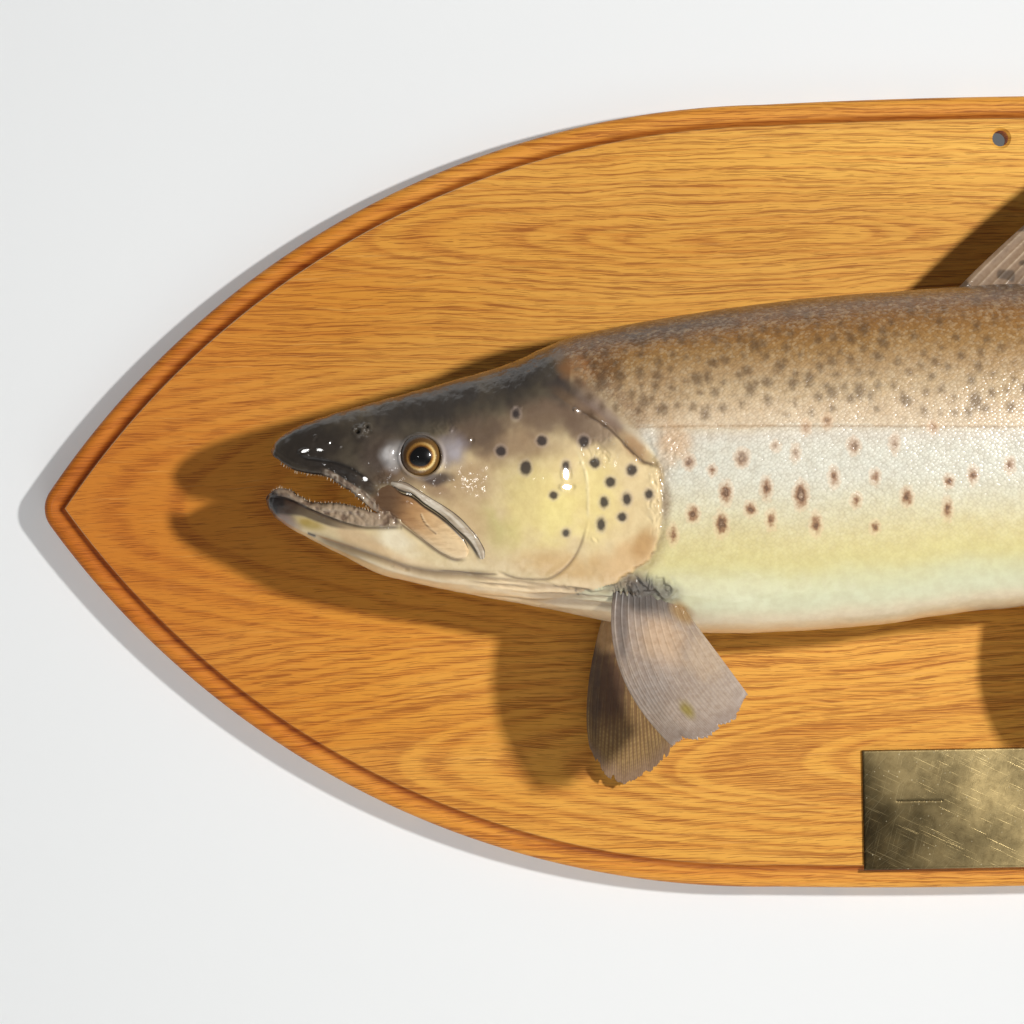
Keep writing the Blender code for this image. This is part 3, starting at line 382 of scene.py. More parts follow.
def skin_side(x, z, side, lift=0.0):
    """Points of the flank at x and height z, lifted outwards along the skin's normal."""
    turn, step = 0.05, 2.0

    def point(at, angle):
        parts = (width_at(at), widest_at(at), top_at(at), bottom_at(at))
        across, height = section_point(at, angle, *parts)
        return stacked(at, middle_at(at) + across, height)

    angle = angle_at_height(z, widest_at(x), top_at(x), bottom_at(x))
    here = point(x, angle)
    upwards = point(x, np.minimum(angle + turn, math.pi / 2)) - point(x, angle - turn)
    normal = unit(np.cross(upwards, point(x + step, angle) - here))
    normal *= np.where(normal[..., 1:2] < 0, -1.0, 1.0)
    lifted = here + normal * np.asarray(lift)[..., None]
    if side == NEAR:
        lifted[..., 1] = 2 * middle_at(x) - lifted[..., 1]
    return lifted


SHADER_NAMES = {"specular": "Specular IOR Level"}


class Look:
    """A material under construction, with short calls for the nodes that it is made of."""

    def __init__(self, name, **values):
        self.material = bpy.data.materials.new(name)
        self.material.use_nodes = True
        self.tree = self.material.node_tree
        self.shader = self.tree.nodes["Principled BSDF"]
        self.colour = None
        self.set(**values)

    def set(self, **values):
        """Sets the shader's inputs by their names, written with _ for a space."""
        for name, value in values.items():
            name = SHADER_NAMES.get(name, name.replace("_", " ").title())
            self.fill(self.shader.inputs[name], value)

    def fill(self, socket, value):
        if isinstance(value, bpy.types.NodeSocket):
            self.tree.links.new(value, socket)
        else:
            socket.default_value = value

    def add(self, kind, inputs, output=0, **settings):
        node = self.tree.nodes.new("ShaderNode" + kind)
        for name, value in settings.items():
            setattr(node, name, value)
        for key, value in inputs.items():
            self.fill(node.inputs[key], value)
        return node.outputs[output]

    def math(self, operation, a, b=0.0, c=0.0):
        return self.add("Math", {0: a, 1: b, 2: c}, operation=operation)

    def times(self, a, b):
        return self.math("MULTIPLY", a, b)

    def times_plus(self, a, b, c):
        return self.math("MULTIPLY_ADD", a, b, c)

    def mix(self, share, a, b, blend="MIX"):
        return self.add("Mix", {0: share, 6: a, 7: b}, 2, data_type="RGBA", blend_type=blend)

    def between(self, share, tone, other_tone):
        """Makes the base colour run from one tone to another."""
        self.colour = self.mix(share, rgba(tone), rgba(other_tone))
        self.set(base_color=self.colour)

    def paint(self, *layers):
        """Lays tones over the base colour: for each a share, a tone and perhaps how they mix."""
        for share, tone, *blend in layers:
            self.colour = self.mix(share, self.colour, rgba(tone), *blend)
        self.set(base_color=self.colour)

    def ranged(self, value, low, high, end=1.0, start=0.0):
        """A value eased from start to end while it goes from low to high."""
        inputs = {"Value": value, "From Min": low, "From Max": high, "To Min": start, "To Max": end}
        return self.add("MapRange", inputs, interpolation_type="SMOOTHSTEP")

    def place(self, scale, turn=(0.0, 0.0, 0.0), source=None):
        """The object's own coordinates in metres, or others, turned and scaled for a texture."""
        if source is None:
            source = self.add("TexCoord", {}, 3)
        if np.isscalar(scale):
            scale = (scale, scale, scale)
        return self.add("Mapping", {"Vector": source, "Scale": scale, "Rotation": turn})

    def along_and_up(self):
        """The object's own X and Z in millimetres."""
        place = self.place(1 / MM)
        return (self.add("SeparateXYZ", {0: place}, output) for output in (0, 2))

    def attribute(self, name, output=2):
        return self.add("Attribute", {}, output, attribute_name=name)

    def noise(self, vector, scale=1.0, detail=2.0, roughness=0.5):
        inputs = {"Vector": vector, "Scale": scale, "Detail": detail, "Roughness": roughness}
        return self.add("TexNoise", inputs)

    def cells(self, vector, randomness=1.0, output=0):
        inputs = {"Vector": vector, "Scale": 1.0, "Randomness": randomness}
        return self.add("TexVoronoi", inputs, output)

    def bump(self, height, distance, strength=1.0, under=None):
        inputs = {"Height": height, "Distance": distance * MM, "Strength": strength}
        if under is not None:
            inputs["Normal"] = under
        return self.add("Bump", inputs)


def new_object(name, points, faces, look):
    """A mesh object from points in millimetres."""
    mesh = bpy.data.meshes.new(name)
    mesh.from_pydata((np.asarray(points) * MM).tolist(), [], [list(face) for face in faces])
    mesh.materials.append(look.material)
    thing = bpy.data.objects.new(name, mesh)
    bpy.context.scene.collection.objects.link(thing)
    return thing


# How many numbers an attribute has for each point: its kind and its field in the mesh
ATTRIBUTE_KINDS = {1: ("FLOAT", "value"), 3: ("FLOAT_VECTOR", "vector"), 4: ("FLOAT_COLOR", "color")}


def make_piece(name, points, faces, look, slot, replaced=(), attributes=None, sharp=None):
    """A piece of the object. It rides on the mount and may replace solids."""
    piece = new_object(name, points, faces, look)
    mesh = piece.data
    for key, values in (attributes or {}).items():
        if key == "paint":
            values = np.insert(values, 3, 1.0, axis=1)
        kind, field = ATTRIBUTE_KINDS[values.size // len(values)]
        mesh.attributes.new(key, kind, "POINT").data.foreach_set(field, values.ravel())
    mesh.shade_smooth()
    if sharp is not None:
        mesh.set_sharp_from_angle(angle=math.radians(sharp))
    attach(piece, "root")
    if replaced:
        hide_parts(*replaced)
    return piece


def ring_faces(ids):
    """Four-sided faces between rows of point numbers, each row closed into a ring."""
    closed = np.concatenate([ids, ids[:, :1]], axis=1)
    return sheet_faces(closed)


def sheet_faces(ids):
    """Four-sided faces between rows of point numbers, open at their ends."""
    return stacked(ids[:-1, :-1], ids[:-1, 1:], ids[1:, 1:], ids[1:, :-1]).reshape(-1, 4)


def fan(centre, ring):
    """Three-sided faces that close the first ring of a shape at a centre point."""
    return [(int(centre), int(b), int(a)) for a, b in zip(ring, np.roll(ring, -1))]


def outwards(points, sides, ends=()):
    """All faces of a closed shape, turned over together if its four-sided ones are inside out."""
    a, b, c, d = (points[sides[:, k]] for k in range(4))
    volume = (np.cross(a, b) * c).sum() + (np.cross(a, c) * d).sum()
    faces = sides.tolist() + [[int(corner) for corner in end] for end in ends]
    return faces if volume > 0 else [face[::-1] for face in faces]


def capped(points, ids):
    """The faces of rings of points with a flat end at the first and at the last ring."""
    return outwards(points, ring_faces(ids), (ids[0, ::-1], ids[-1]))


def plate(outer, inner):
    """A closed plate from two like grids of points, the outer and the inner face."""
    rows, columns = outer.shape[:2]
    ids = np.arange(rows * columns).reshape(rows, columns)
    below = ids + rows * columns
    rim = np.concatenate([ids[0, :-1], ids[:-1, -1], ids[-1, :0:-1], ids[:0:-1, 0]])
    rim_rows = np.stack([rim + rows * columns, rim])
    points = np.concatenate([outer.reshape(-1, 3), inner.reshape(-1, 3)])
    sides = np.concatenate([sheet_faces(ids), sheet_faces(below)[:, ::-1], ring_faces(rim_rows)])
    return points, outwards(points, sides)


def joined(shapes):
    """Several shapes, each points and faces, as one."""
    every_point, every_face = [], []
    total = 0
    for points, faces in shapes:
        every_point.append(points)
        every_face += [[corner + total for corner in face] for face in faces]
        total += len(points)
    return np.concatenate(every_point), every_face


def make_camera():
    """The photograph's viewpoint: straight at the board, a little left of the object's middle."""
    data = bpy.data.cameras.new("camera")
    data.sensor_width = SENSOR
    data.lens = SENSOR * CAMERA_DISTANCE * PIXELS_PER_METRE / FRAME_PIXELS
    data.clip_end = 50.0
    camera = bpy.data.objects.new("camera", data)
    right = (FRAME_PIXELS / 2 - ORIGIN_PIXEL[0]) / PIXELS_PER_METRE
    up = (ORIGIN_PIXEL[1] - FRAME_PIXELS / 2) / PIXELS_PER_METRE
    x = right * math.cos(CAMERA_ROLL) + up * math.sin(CAMERA_ROLL)
    z = up * math.cos(CAMERA_ROLL) - right * math.sin(CAMERA_ROLL)
    place = Matrix.Translation((x, -CAMERA_DISTANCE - BOARD_THICKNESS * MM, z))
    upright = Matrix.Rotation(math.pi / 2, 4, "X")
    camera.matrix_world = place @ upright @ Matrix.Rotation(-CAMERA_ROLL, 4, "Z")
    bpy.context.scene.collection.objects.link(camera)
    bpy.context.scene.camera = camera


def make_light(name, place, facing, diameter, power, colour):
    data = bpy.data.lights.new(name, "AREA")
    data.shape = "DISK"
    data.size = diameter
    data.energy = power
    data.color = colour
    light = bpy.data.objects.new(name, data)
    light.rotation_euler = (Vector(facing) - Vector(place)).to_track_quat("-Z", "Y").to_euler()
    light.location = place
    bpy.context.scene.collection.objects.link(light)


def make_lights():
    make_light("key_light", *KEY_LIGHT)
    make_light("left_light", *LEFT_LIGHT)
    make_light("low_light", *LOW_LIGHT)
    world = bpy.data.worlds.new("sky")
    world.use_nodes = True
    sky = world.node_tree.nodes["Background"]
    sky.inputs["Color"].default_value = SKY_COLOUR
    sky.inputs["Strength"].default_value = SKY_STRENGTH
    bpy.context.scene.world = world
    bpy.context.scene.view_settings.view_transform = "Standard"


def board_outline(inset):
    """The board's outline, this far in from its edge, as (x, z) points in order round it."""
    bow_drop = BOW_RADIUS - math.sqrt(BOW_RADIUS**2 - SIDE_ARC_X**2)
    arc_centre_z = BOARD_HALF_HEIGHT - bow_drop - SIDE_ARC_RADIUS
    bow_centre_z = BOARD_HALF_HEIGHT - BOW_RADIUS
    bow = BOW_RADIUS - inset
    radius = SIDE_ARC_RADIUS - inset
    tip_radius = max(TIP_SMALLEST, TIP_RADIUS - TIP_SHARPENING * inset)
    # The tip's small circle touches both side arcs from within
    reach = radius - tip_radius
    tip_centre_x = SIDE_ARC_X + math.sqrt(reach**2 - arc_centre_z**2)
    touch = math.atan2(-arc_centre_z, tip_centre_x - SIDE_ARC_X)
    start = math.atan2(SIDE_ARC_X, BOW_RADIUS)
    quarter = []
    for i in range(BOW_STEPS):
        angle = start * i / BOW_STEPS
        quarter.append((bow * math.sin(angle), bow_centre_z + bow * math.cos(angle)))
    for i in range(ARC_STEPS):
        angle = math.pi / 2 - (math.pi / 2 - touch) * i / ARC_STEPS
        quarter.append((SIDE_ARC_X + radius * math.cos(angle), arc_centre_z + radius * math.sin(angle)))
    for i in range(TIP_STEPS):
        angle = touch * (1 - i / TIP_STEPS)
        quarter.append((tip_centre_x + tip_radius * math.cos(angle), tip_radius * math.sin(angle)))
    right_end = (tip_centre_x + tip_radius, 0.0)
    right_side = quarter + [right_end] + [(x, -z) for x, z in reversed(quarter[1:])]
    left_side = [(-x, z) for x, z in reversed(right_side[1:])]
    return right_side + [(0.0, -quarter[0][1])] + left_side


def make_stage():
    """A pale wall that is open behind the board and unseen from its back, and a pale floor."""
    look = Look("pale_wall", base_color=rgba(WALL_COLOUR), roughness=0.85)
    look.set(emission_color=rgba(FLOOR_COLOUR), emission_strength=WALL_GLOW)
    clear = look.add("BsdfTransparent", {})
    backface = look.add("NewGeometry", {}, "Backfacing")
    chosen = look.add("MixShader", {0: backface, 1: look.shader.outputs[0], 2: clear})
    look.fill(look.tree.nodes["Material Output"].inputs["Surface"], chosen)
    edge = np.array(board_outline(WALL_OVERLAP))
    rows = [np.insert(line, 1, WALL_BEHIND, axis=1) for line in (edge, unit(edge) * WALL_REACH)]
    ids = np.arange(2 * len(edge)).reshape(2, -1)
    new_object("wall", np.concatenate(rows), ring_faces(ids), look)
    half = FLOOR_SIZE / 2
    corners = [(-half, -FLOOR_SIZE), (half, -FLOOR_SIZE), (half, 0.0), (-half, 0.0)]
    look = Look("pale_floor", base_color=rgba(FLOOR_COLOUR), roughness=0.7)
    new_object("floor", [(x, y, FLOOR_LEVEL) for x, y in corners], [(0, 1, 2, 3)], look)


# Wood, in millimetres. In each plank the rings bend round a middle line and their arches point left
PLANK_HEIGHT = 123.5
RING_WIDTH = 3.4
RING_SLOPE = 0.11
# Where the rings' middle comes to the surface, as a quadratic of the plank's number from the middle
RINGS_OPEN = (600.0, -151.0, -561.0)


def oak_look():
    """Flat-sawn golden oak in three planks: arched rings, short dark pores and a satin varnish."""
    look = Look("varnished_oak", roughness=0.5, specular=0.2, coat_weight=0.15, coat_roughness=0.16)
    along, height = look.along_and_up()
    plank = look.math("FLOOR", look.times_plus(height, 1 / PLANK_HEIGHT, 0.5))
    wander = look.noise(look.place((5.0, 5.0, 16.0)), detail=4.0, roughness=0.55)
    wander = look.times_plus(wander, 22.0, -10.0)
    off = look.math("ADD", look.times_plus(plank, -PLANK_HEIGHT, height), wander)
    level, slant, bend = RINGS_OPEN
    opens = look.times_plus(plank, look.times_plus(plank, bend, slant), level)
    depth = look.times(look.math("SUBTRACT", along, opens), RING_SLOPE)
    square = look.times_plus(off, off, look.times(depth, depth))
    rings = look.times(look.math("SQRT", square), 1 / RING_WIDTH)
    uneven = look.noise(look.add("CombineXYZ", {0: rings, 1: plank}), scale=0.45, detail=1.0)
    phase = look.math("FRACT", look.times_plus(uneven, 3.2, rings))
    grown = look.times_plus(wander, 0.8, height)
    grain_place = look.add("CombineXYZ", {0: along, 1: look.times(plank, 61.0), 2: grown})

    def grain(scale, **settings):
        return look.noise(look.place(scale, source=grain_place), **settings)

    streaks = grain((0.012, 0.2, 0.5), detail=4.0, roughness=0.6)
    # Pores crowd together in the early part of each ring, which shows as a soft darker arch
    band = look.times(look.ranged(phase, 0.0, 0.22), look.ranged(phase, 0.75, 0.3))
    crowded = look.times_plus(band, 0.07, grain((0.036, 0.5, 2.9), roughness=0.6))
    single = look.times_plus(band, 0.05, grain((0.09, 0.5, 3.6), detail=1.0))
    single = look.ranged(single, 0.61, 0.67, 0.85)
    pores = look.math("MAXIMUM", look.ranged(crowded, 0.59, 0.66), single)
    broad = look.noise(look.place((4.0, 8.0, 22.0)), detail=3.0)
    look.between(look.ranged(broad, 0.3, 0.7), (238, 168, 62), (248, 186, 84))
    look.paint(
        # Painted shade towards the board's left end, and painted light towards its middle
        (look.ranged(along, -250.0, -430.0, 0.7), (216, 130, 42)),
        (look.ranged(along, -330.0, -100.0, 0.5), (252, 200, 94)),
        (look.ranged(streaks, 0.45, 0.7, 0.3), (208, 120, 34)),
        (look.times(band, 0.24), (198, 106, 32)),
        (look.ranged(grain((0.03, 0.5, 0.9)), 0.62, 0.74, 0.35), (246, 190, 104)),
        (look.times(pores, 0.62), (136, 62, 16)),
        # The moulding is darker than the field; painted shade darkens its cove, and a painted highlight
        # lies along its crest
        (look.attribute("edge"), (238, 218, 204), "MULTIPLY"),
        (look.attribute("cove_shade"), (204, 172, 156), "MULTIPLY"),
        (look.attribute("crest_highlight"), (255, 232, 186)),
    )
    relief = look.math("SUBTRACT", look.times(streaks, 0.4), pores)
    waves = look.noise(look.place((30.0, 60.0, 60.0)), detail=1.0)
    look.set(normal=look.bump(relief, 0.1, 0.35), coat_normal=look.bump(waves, 0.2, 0.12))
    return look


def make_board():
    rings = [np.insert(board_outline(inset), 1, -depth, axis=1) for inset, depth in MOULDING]
    inset = np.repeat([inset for inset, _ in MOULDING], len(rings[0]))
    points = np.concatenate(rings)
    upper_left = smooth_step(-120.0, -330.0, points[:, 0]) * smooth_step(-60.0, 30.0, points[:, 2])
    # Masks for the moulding's darker tone, the painted shade in its cove and the painted highlight on
    # its crest, strongest at the upper left
    moulding_paint = {
        "edge": smooth_step(11.0, 10.2, inset) * (points[:, 1] < 0),
        "cove_shade": bell(inset - 9.3, 1.8),
        "crest_highlight": (0.15 + 0.8 * upper_left) * (np.abs(inset - CREST_INSET) < 0.1),
    }
    faces = capped(points, np.arange(len(points)).reshape(len(rings), -1))
    look = oak_look()
    board = make_piece("board_wood", points, faces, look, "varnished_oak", ["board"], moulding_paint, 38)
    bore = hole_cutter(BORE_RADIUS, BORE_RADIUS, 3 * BOARD_THICKNESS, 0.0)
    flare = (SINK_RADIUS - BORE_RADIUS) * 0.5
    middle = SINK_DEPTH / 2 - BOARD_THICKNESS
    sink = hole_cutter(BORE_RADIUS - flare, SINK_RADIUS + flare, 2 * SINK_DEPTH, middle)
    for cutter in (bore, sink):
        modifier = board.modifiers.new("hole", "BOOLEAN")
        modifier.operation = "DIFFERENCE"
        modifier.object = cutter
        bpy.context.view_layer.update()
        graph = bpy.context.evaluated_depsgraph_get()
        cut = bpy.data.meshes.new_from_object(board.evaluated_get(graph))
        board.modifiers.clear()
        board.data = cut
        bpy.data.objects.remove(cutter)


def hole_cutter(inner_radius, outer_radius, length, y):
    """A cone across the board at the hole's place, with its outer end towards the room."""
    sizes = {"radius1": inner_radius * MM, "radius2": outer_radius * MM, "depth": length * MM}
    bm = bmesh.new()
    bmesh.ops.create_cone(bm, cap_ends=True, segments=HOLE_SIDES, **sizes)
    mesh = bpy.data.meshes.new("hole")
    bm.to_mesh(mesh)
    bm.free()
    cutter = bpy.data.objects.new("hole", mesh)
    cutter.location = (HOLE_X * MM, y * MM, HOLE_Z * MM)
    cutter.rotation_euler = (math.pi / 2, 0, 0)
    bpy.context.scene.collection.objects.link(cutter)
    return cutter


def brass_look():
    """Darkened brass with fine scratches and pale specks; painted shade makes it greener and darker at
    its lower left.
    """
    look = Look("aged_brass", metallic=1.0, coat_weight=0.1, coat_roughness=0.35)
    cloud = look.noise(look.place((30.0, 10.0, 30.0)), detail=4.0, roughness=0.6)
    fine = look.noise(look.place((300.0, 100.0, 300.0)), detail=3.0, roughness=0.7)
    scratches = 0.0
    for turn, scale in BRASS_SCRATCHES:
        # Turned first and stretched after, so that the scratches lie along the turned direction
        turned = look.place(1.0, (0.0, turn, 0.0))
        line = look.noise(look.place((50.0, 10.0, scale), source=turned), detail=1.0)
        scratches = look.math("MAXIMUM", scratches, look.ranged(line, 0.62, 0.78))
    specks = look.ranged(look.cells(look.place((330.0, 10.0, 330.0))), 0.13, 0.06)
    along, height = look.along_and_up()
    # Painted shade towards the lower left and painted light towards the upper right
    lit = look.times_plus(cloud, 40.0, look.times_plus(height, 0.55, along))
    look.between(look.ranged(lit, -135.0, -55.0), (70, 59, 38), (186, 164, 115))
    look.paint(
        (look.ranged(fine, 0.4, 0.75, 0.4), (100, 82, 50)),
        (look.times(scratches, 0.16), (214, 196, 150)),
        (look.times(specks, 0.55), (226, 212, 176)),
        (look.times(look.attribute("groove"), 0.85), (52, 40, 22)),
    )
    relief = look.math("SUBTRACT", look.times(fine, 0.5), scratches)
    look.set(roughness=look.ranged(cloud, 0.3, 0.7, 0.46, 0.3), normal=look.bump(relief, 0.05, 0.4))
    return look


def make_plaque():
    """A brass plate with a rounded bevel, shallow dents and a pair of short engraved rules."""
    half_length, half_height = PLAQUE_LENGTH / 2, PLAQUE_HEIGHT / 2
    across = np.arange(-half_length, half_length + PLAQUE_STEP / 2, PLAQUE_STEP)
    up = np.arange(-half_height, half_height + PLAQUE_STEP / 2, PLAQUE_STEP)
    x, z = np.meshgrid(across, up)
    from_edge = np.minimum(half_length - np.abs(x), half_height - np.abs(z))
    bevel = np.clip(1 - from_edge / PLAQUE_BEVEL, 0.0, 1.0)
    lift = PLAQUE_THICKNESS - PLAQUE_BEVEL_DROP * bevel**2 + PLAQUE_DENTS * noise(3, x / 7, z / 7)
    groove = np.zeros(x.shape)
    for start, end, level in PLAQUE_RULES:
        beside = np.maximum(np.maximum(start - x, x - end), 0.0)
        groove = np.maximum(groove, bell(np.hypot(beside, z - level), RULE_WIDTH))
    outer = stacked(x + PLAQUE_X, RULE_DEPTH * groove - PLAQUE_BACK - lift, z + PLAQUE_Z)
    points, faces = plate(outer, stacked(x + PLAQUE_X, -PLAQUE_BACK, z + PLAQUE_Z))
    grooves = {"groove": np.concatenate([groove.ravel(), np.zeros(groove.size)])}
    make_piece("plaque_plate", points, faces, brass_look(), "aged_brass", ["plaque"], grooves, 50)


# Places on the fish's side, (x, height), from its front or top onwards
GILL_EDGE = [
    (-212.0, 50.5), (-202.7, 45.3), (-194.0, 39.4), (-185.2, 33.6), (-179.7, 29.2), (-173.4, 22.3),
    (-166.8, 16.0), (-159.7, 12.7), (-158.5, 1.9), (-158.7, -8.9), (-160.6, -19.3), (-164.3, -27.8),
    (-171.1, -32.5), (-179.3, -37.8), (-188.0, -41.4), (-211.4, -38.4), (-229.6, -34.5),
]
GILL_CLOSES = [(-245.0, -20.0), (-245.0, 30.0), (-222.0, 50.0)]
# Where the scales begin: behind the head's top and the bare fold above the gill cover
SCALES_BEGIN = [
    (-216.0, 92.0), (-208.0, 74.0), (-201.0, 64.0), (-195.0, 55.0), (-186.0, 45.5), (-176.0, 35.5),
    (-168.0, 26.5), (-161.0, 18.0), (-157.5, 10.0), *GILL_EDGE[8:14],
]
HEAD_CLOSES = [(-214.0, -48.0), (-216.0, -80.0), (-400.0, -80.0), (-400.0, 92.0)]
PREOPERCLE = [
    (-196.4, 22.9), (-194.7, 19.3), (-191.4, 2.5), (-191.6, -10.1), (-198.6, -25.9), (-211.9, -35.7),
    (-220.0, -36.5), (-229.6, -34.5),
]
LIP_GROOVE = [
    (-323.7, 24.1), (-320.5, 21.3), (-315.4, 20.1), (-307.5, 18.8), (-301.4, 16.9), (-295.5, 13.6),
    (-291.4, 10.3), (-288.9, 8.0),
]
GUM_TOP = [(-330.0, 19.0), (-309.0, 15.4), (-298.9, 9.0), (-292.4, 4.8), (-287.5, 0.8), (-280.3, -2.5)]
GUM_BAND = [
    (-337.3, 4.2), (-329.8, 3.4), (-323.3, 1.0), (-314.0, -3.6), (-308.0, -6.2), (-301.0, -8.8),
    (-290.5, -10.8), (-275.0, -10.8),
]
# The lower edge of the dark lip below the gums
DARK_LIP = [
    (-337.0, -3.5), (-331.9, -4.4), (-321.2, -5.6), (-314.2, -8.4), (-308.7, -10.4), (-301.6, -11.8),
    (-291.8, -12.4), (-275.0, -11.8),
]
JAW_FOLD = [
    (-320.1, -13.1), (-310.4, -17.4), (-302.0, -20.4), (-292.2, -23.8), (-281.8, -27.6),
    (-274.9, -30.1), (-264.4, -32.2), (-254.0, -33.2), (-243.5, -33.8), (-231.8, -34.2),
]
JAW_RIDGE = [
    (-300.0, -22.6), (-290.9, -26.4), (-281.8, -30.2), (-271.4, -33.4), (-258.0, -36.0), (-240.0, -38.0),
]
LIP_RIDGE = [
    (-324.0, 23.6), (-316.4, 22.2), (-310.7, 20.8), (-303.8, 16.6), (-298.3, 13.4), (-291.4, 9.8),
    (-286.5, 5.6),
]
# The lower edge of the cheek plate, and the upper edge of the pleated skin under the gill cover
CHEEK_EDGE = [
    (-234.0, -32.0), (-224.0, -35.8), (-212.0, -36.4), (-203.0, -32.0), (-196.0, -23.0), (-192.4, -13.0),
]
PLEATS_TOP = [
    (-252.0, -33.5), (-229.6, -35.5), (-211.4, -38.4), (-188.0, -40.5), (-171.0, -42.0), (-155.0, -44.0),
]
PLEATS_DEPTH = 12.0
LATERAL_LINE = [
    (-171.4, 31.9), (-140.3, 31.8), (-76.8, 30.6), (-1.0, 28.8), (80.0, 26.5), (180.0, 21.5),
    (304.0, 14.7),
]
NOSTRILS = [(-295.4, 32.4, 1.5), (-291.4, 34.3, 1.1)]
# Crumpled skin: (x, height, half length, half height, depth, distance between the folds)
CRUMPLES = [
    (-293.5, 33.5, 5.5, 5.0, 0.55, 1.7),
    (-284.5, 11.5, 5.0, 3.5, 0.2, 1.2),
    (-256.0, 34.0, 9.0, 5.0, 0.25, 1.5),
    (-185.5, 22.5, 8.0, 9.0, 0.4, 1.9),
    (-158.0, 20.0, 9.0, 16.0, 0.35, 2.0),
    (-160.5, -2.0, 5.0, 20.0, 0.45, 1.5),
    (-166.0, -42.0, 16.0, 8.0, 1.2, 1.9),
]
# Where the dark of the head's top ends: (x, height)
DARK_TOP = [
    (-338.0, -30.0), (-322.0, 0.0), (-300.0, 4.0), (-288.0, 6.0), (-276.0, 16.0), (-262.0, 25.0),
    (-246.0, 31.0), (-223.0, 37.0), (-206.0, 41.0), (-199.0, 47.0), (-198.0, 60.0), (-192.0, 90.0),
]
# Bulges of the head: (x, height, half length, half height, rise)
SWELLINGS = [
    (-214.0, 7.0, 14.0, 16.0, 2.0),
    (-303.0, 25.0, 8.0, 6.0, -0.8),
]
# Folds and ridges: line, rise, half width, and the shares of the line where they fade in and out
HEAD_FOLDS = [
    (CHEEK_EDGE, -0.4, 0.6, 0.1, 0.7),
    (LIP_GROOVE, -0.3, 0.6, 0.15, None),
    (LIP_RIDGE, 0.7, 2.0, 0.12, 0.88),
    (JAW_FOLD, -0.8, 1.3, 0.12, 0.85),
    (JAW_RIDGE, 0.6, 1.5, 0.12, 0.8),
]
# Swollen skin behind and before the eye: (x and height from the eye, half length, half height, rise)
ROUND_EYE = [(15.5, 2.0, 6.0, 8.5, 0.55), (-13.5, 1.5, 4.5, 6.5, 0.5)]
# Limits along X of the head's relief, of its paint and of the gums
HEAD_RELIEF_END = -140.0
HEAD_PAINT_END = -120.0
GUM_END = -276.0
UPPER_GUM_START = -312.0
# The distance ahead of the gill cover's edge and of the first scales, for points far behind them
FAR_BEHIND = -200.0

pleats_top_at = curve_through(PLEATS_TOP)
gum_top_at = curve_through(GUM_TOP)
gum_band_at = curve_through(GUM_BAND)
dark_lip_at = curve_through(DARK_LIP)
dark_top_at = curve_through(DARK_TOP)
lateral_at = curve_through(LATERAL_LINE)

# The parts of the skin that a point can be on
BODY, SNOUT, JAW, INSIDE_MOUTH, CLOSED_END = range(5)


def stations(start, end, step):
    return np.linspace(start, end, round((end - start) / step) + 1)


def jaw_stations(tip):
    """Stations from a jaw's tip to the mouth's corner, close together at the tip, without the corner."""
    nose = tip + TIP_LENGTH * (np.arange(TIP_STATIONS) / TIP_STATIONS) ** 2
    return np.concatenate([nose, stations(tip + TIP_LENGTH, MOUTH_CORNER, HEAD_STEP)[:-1]])[:, None]


def near_biased(count):
    """Shares from 0 to 1 that lie closer together where they start, on the near side."""
    share = np.linspace(0.0, 1.0, count + 1)
    return share * (1 + NEAR_SIDE_BIAS * share) / (1 + NEAR_SIDE_BIAS)


def resample(curves, shares):
    """Points at the same shares of the length of each curve in a stack."""
    steps = np.linalg.norm(np.diff(curves, axis=1), axis=2)
    lengths = np.concatenate([np.zeros((len(curves), 1)), np.cumsum(steps, axis=1)], axis=1)
    rows = []
    for curve, length in zip(curves, lengths):
        at = shares * length[-1]
        rows.append(np.stack([np.interp(at, length, column) for column in curve.T], axis=-1))
    return np.array(rows)


def placed(x, across, height):
    return stacked(x, middle_at(x) + across, height)


def arcs_over(x, edge, bottom):
    """Dense arcs at each x from the near side's edge height over the back to the far side's."""
    parts = (widest_at(x), top_at(x), bottom)
    start = np.maximum(angle_at_height(edge, *parts), LOWEST_ANGLE)
    angle = math.pi - start - (math.pi - 2 * start) * np.linspace(0.0, 1.0, SECTION_SAMPLES)
    return placed(x, *section_point(x, angle, width_at(x), *parts))


def jaw_across(x, height):
    """Half the lower jaw's width at a height."""
    widest = jaw_widest_at(x)
    over = np.clip((height - widest) / JAW_CLOSES_ABOVE, 0.0, 1.0)
    under = np.clip((widest - height) / (widest - bottom_at(x)), 0.0, 1.0)
    above = (1 - over**ROUNDNESS_ABOVE) ** (1 / ROUNDNESS_ABOVE)
    below = (1 - under**ROUNDNESS_BELOW) ** (1 / ROUNDNESS_BELOW)
    return np.where(height >= widest, above, below) * jaw_width_at(x)


def arcs_under(x, edge):
    """Dense arcs at each x behind the mouth from the far flank under the belly to the near flank."""
    parts = (widest_at(x), top_at(x), bottom_at(x))
    start = angle_at_height(edge, *parts)
    angle = start - (math.pi + 2 * start) * np.linspace(0.0, 1.0, SECTION_SAMPLES)
    across, height = section_point(x, angle, width_at(x), *parts)
    of_jaw = smooth_step(3.0, -3.0, height - seam_at(x)) * smooth_step(JAW_END, JAW_END - 12.0, x)
    across = across + (np.sign(across) * jaw_across(x, height) - across) * of_jaw
    return placed(x, across, height)


def jaw_arcs(x):
    """Dense arcs of the lower jaw before the mouth's corner, from far edge to near edge."""
    parts = (jaw_widest_at(x), jaw_widest_at(x) + JAW_CLOSES_ABOVE, bottom_at(x))
    start = angle_at_height(lower_jaw_at(x), *parts)
    angle = start - (math.pi + 2 * start) * np.linspace(0.0, 1.0, SECTION_SAMPLES)
    return placed(x, *section_point(x, angle, jaw_width_at(x), *parts))


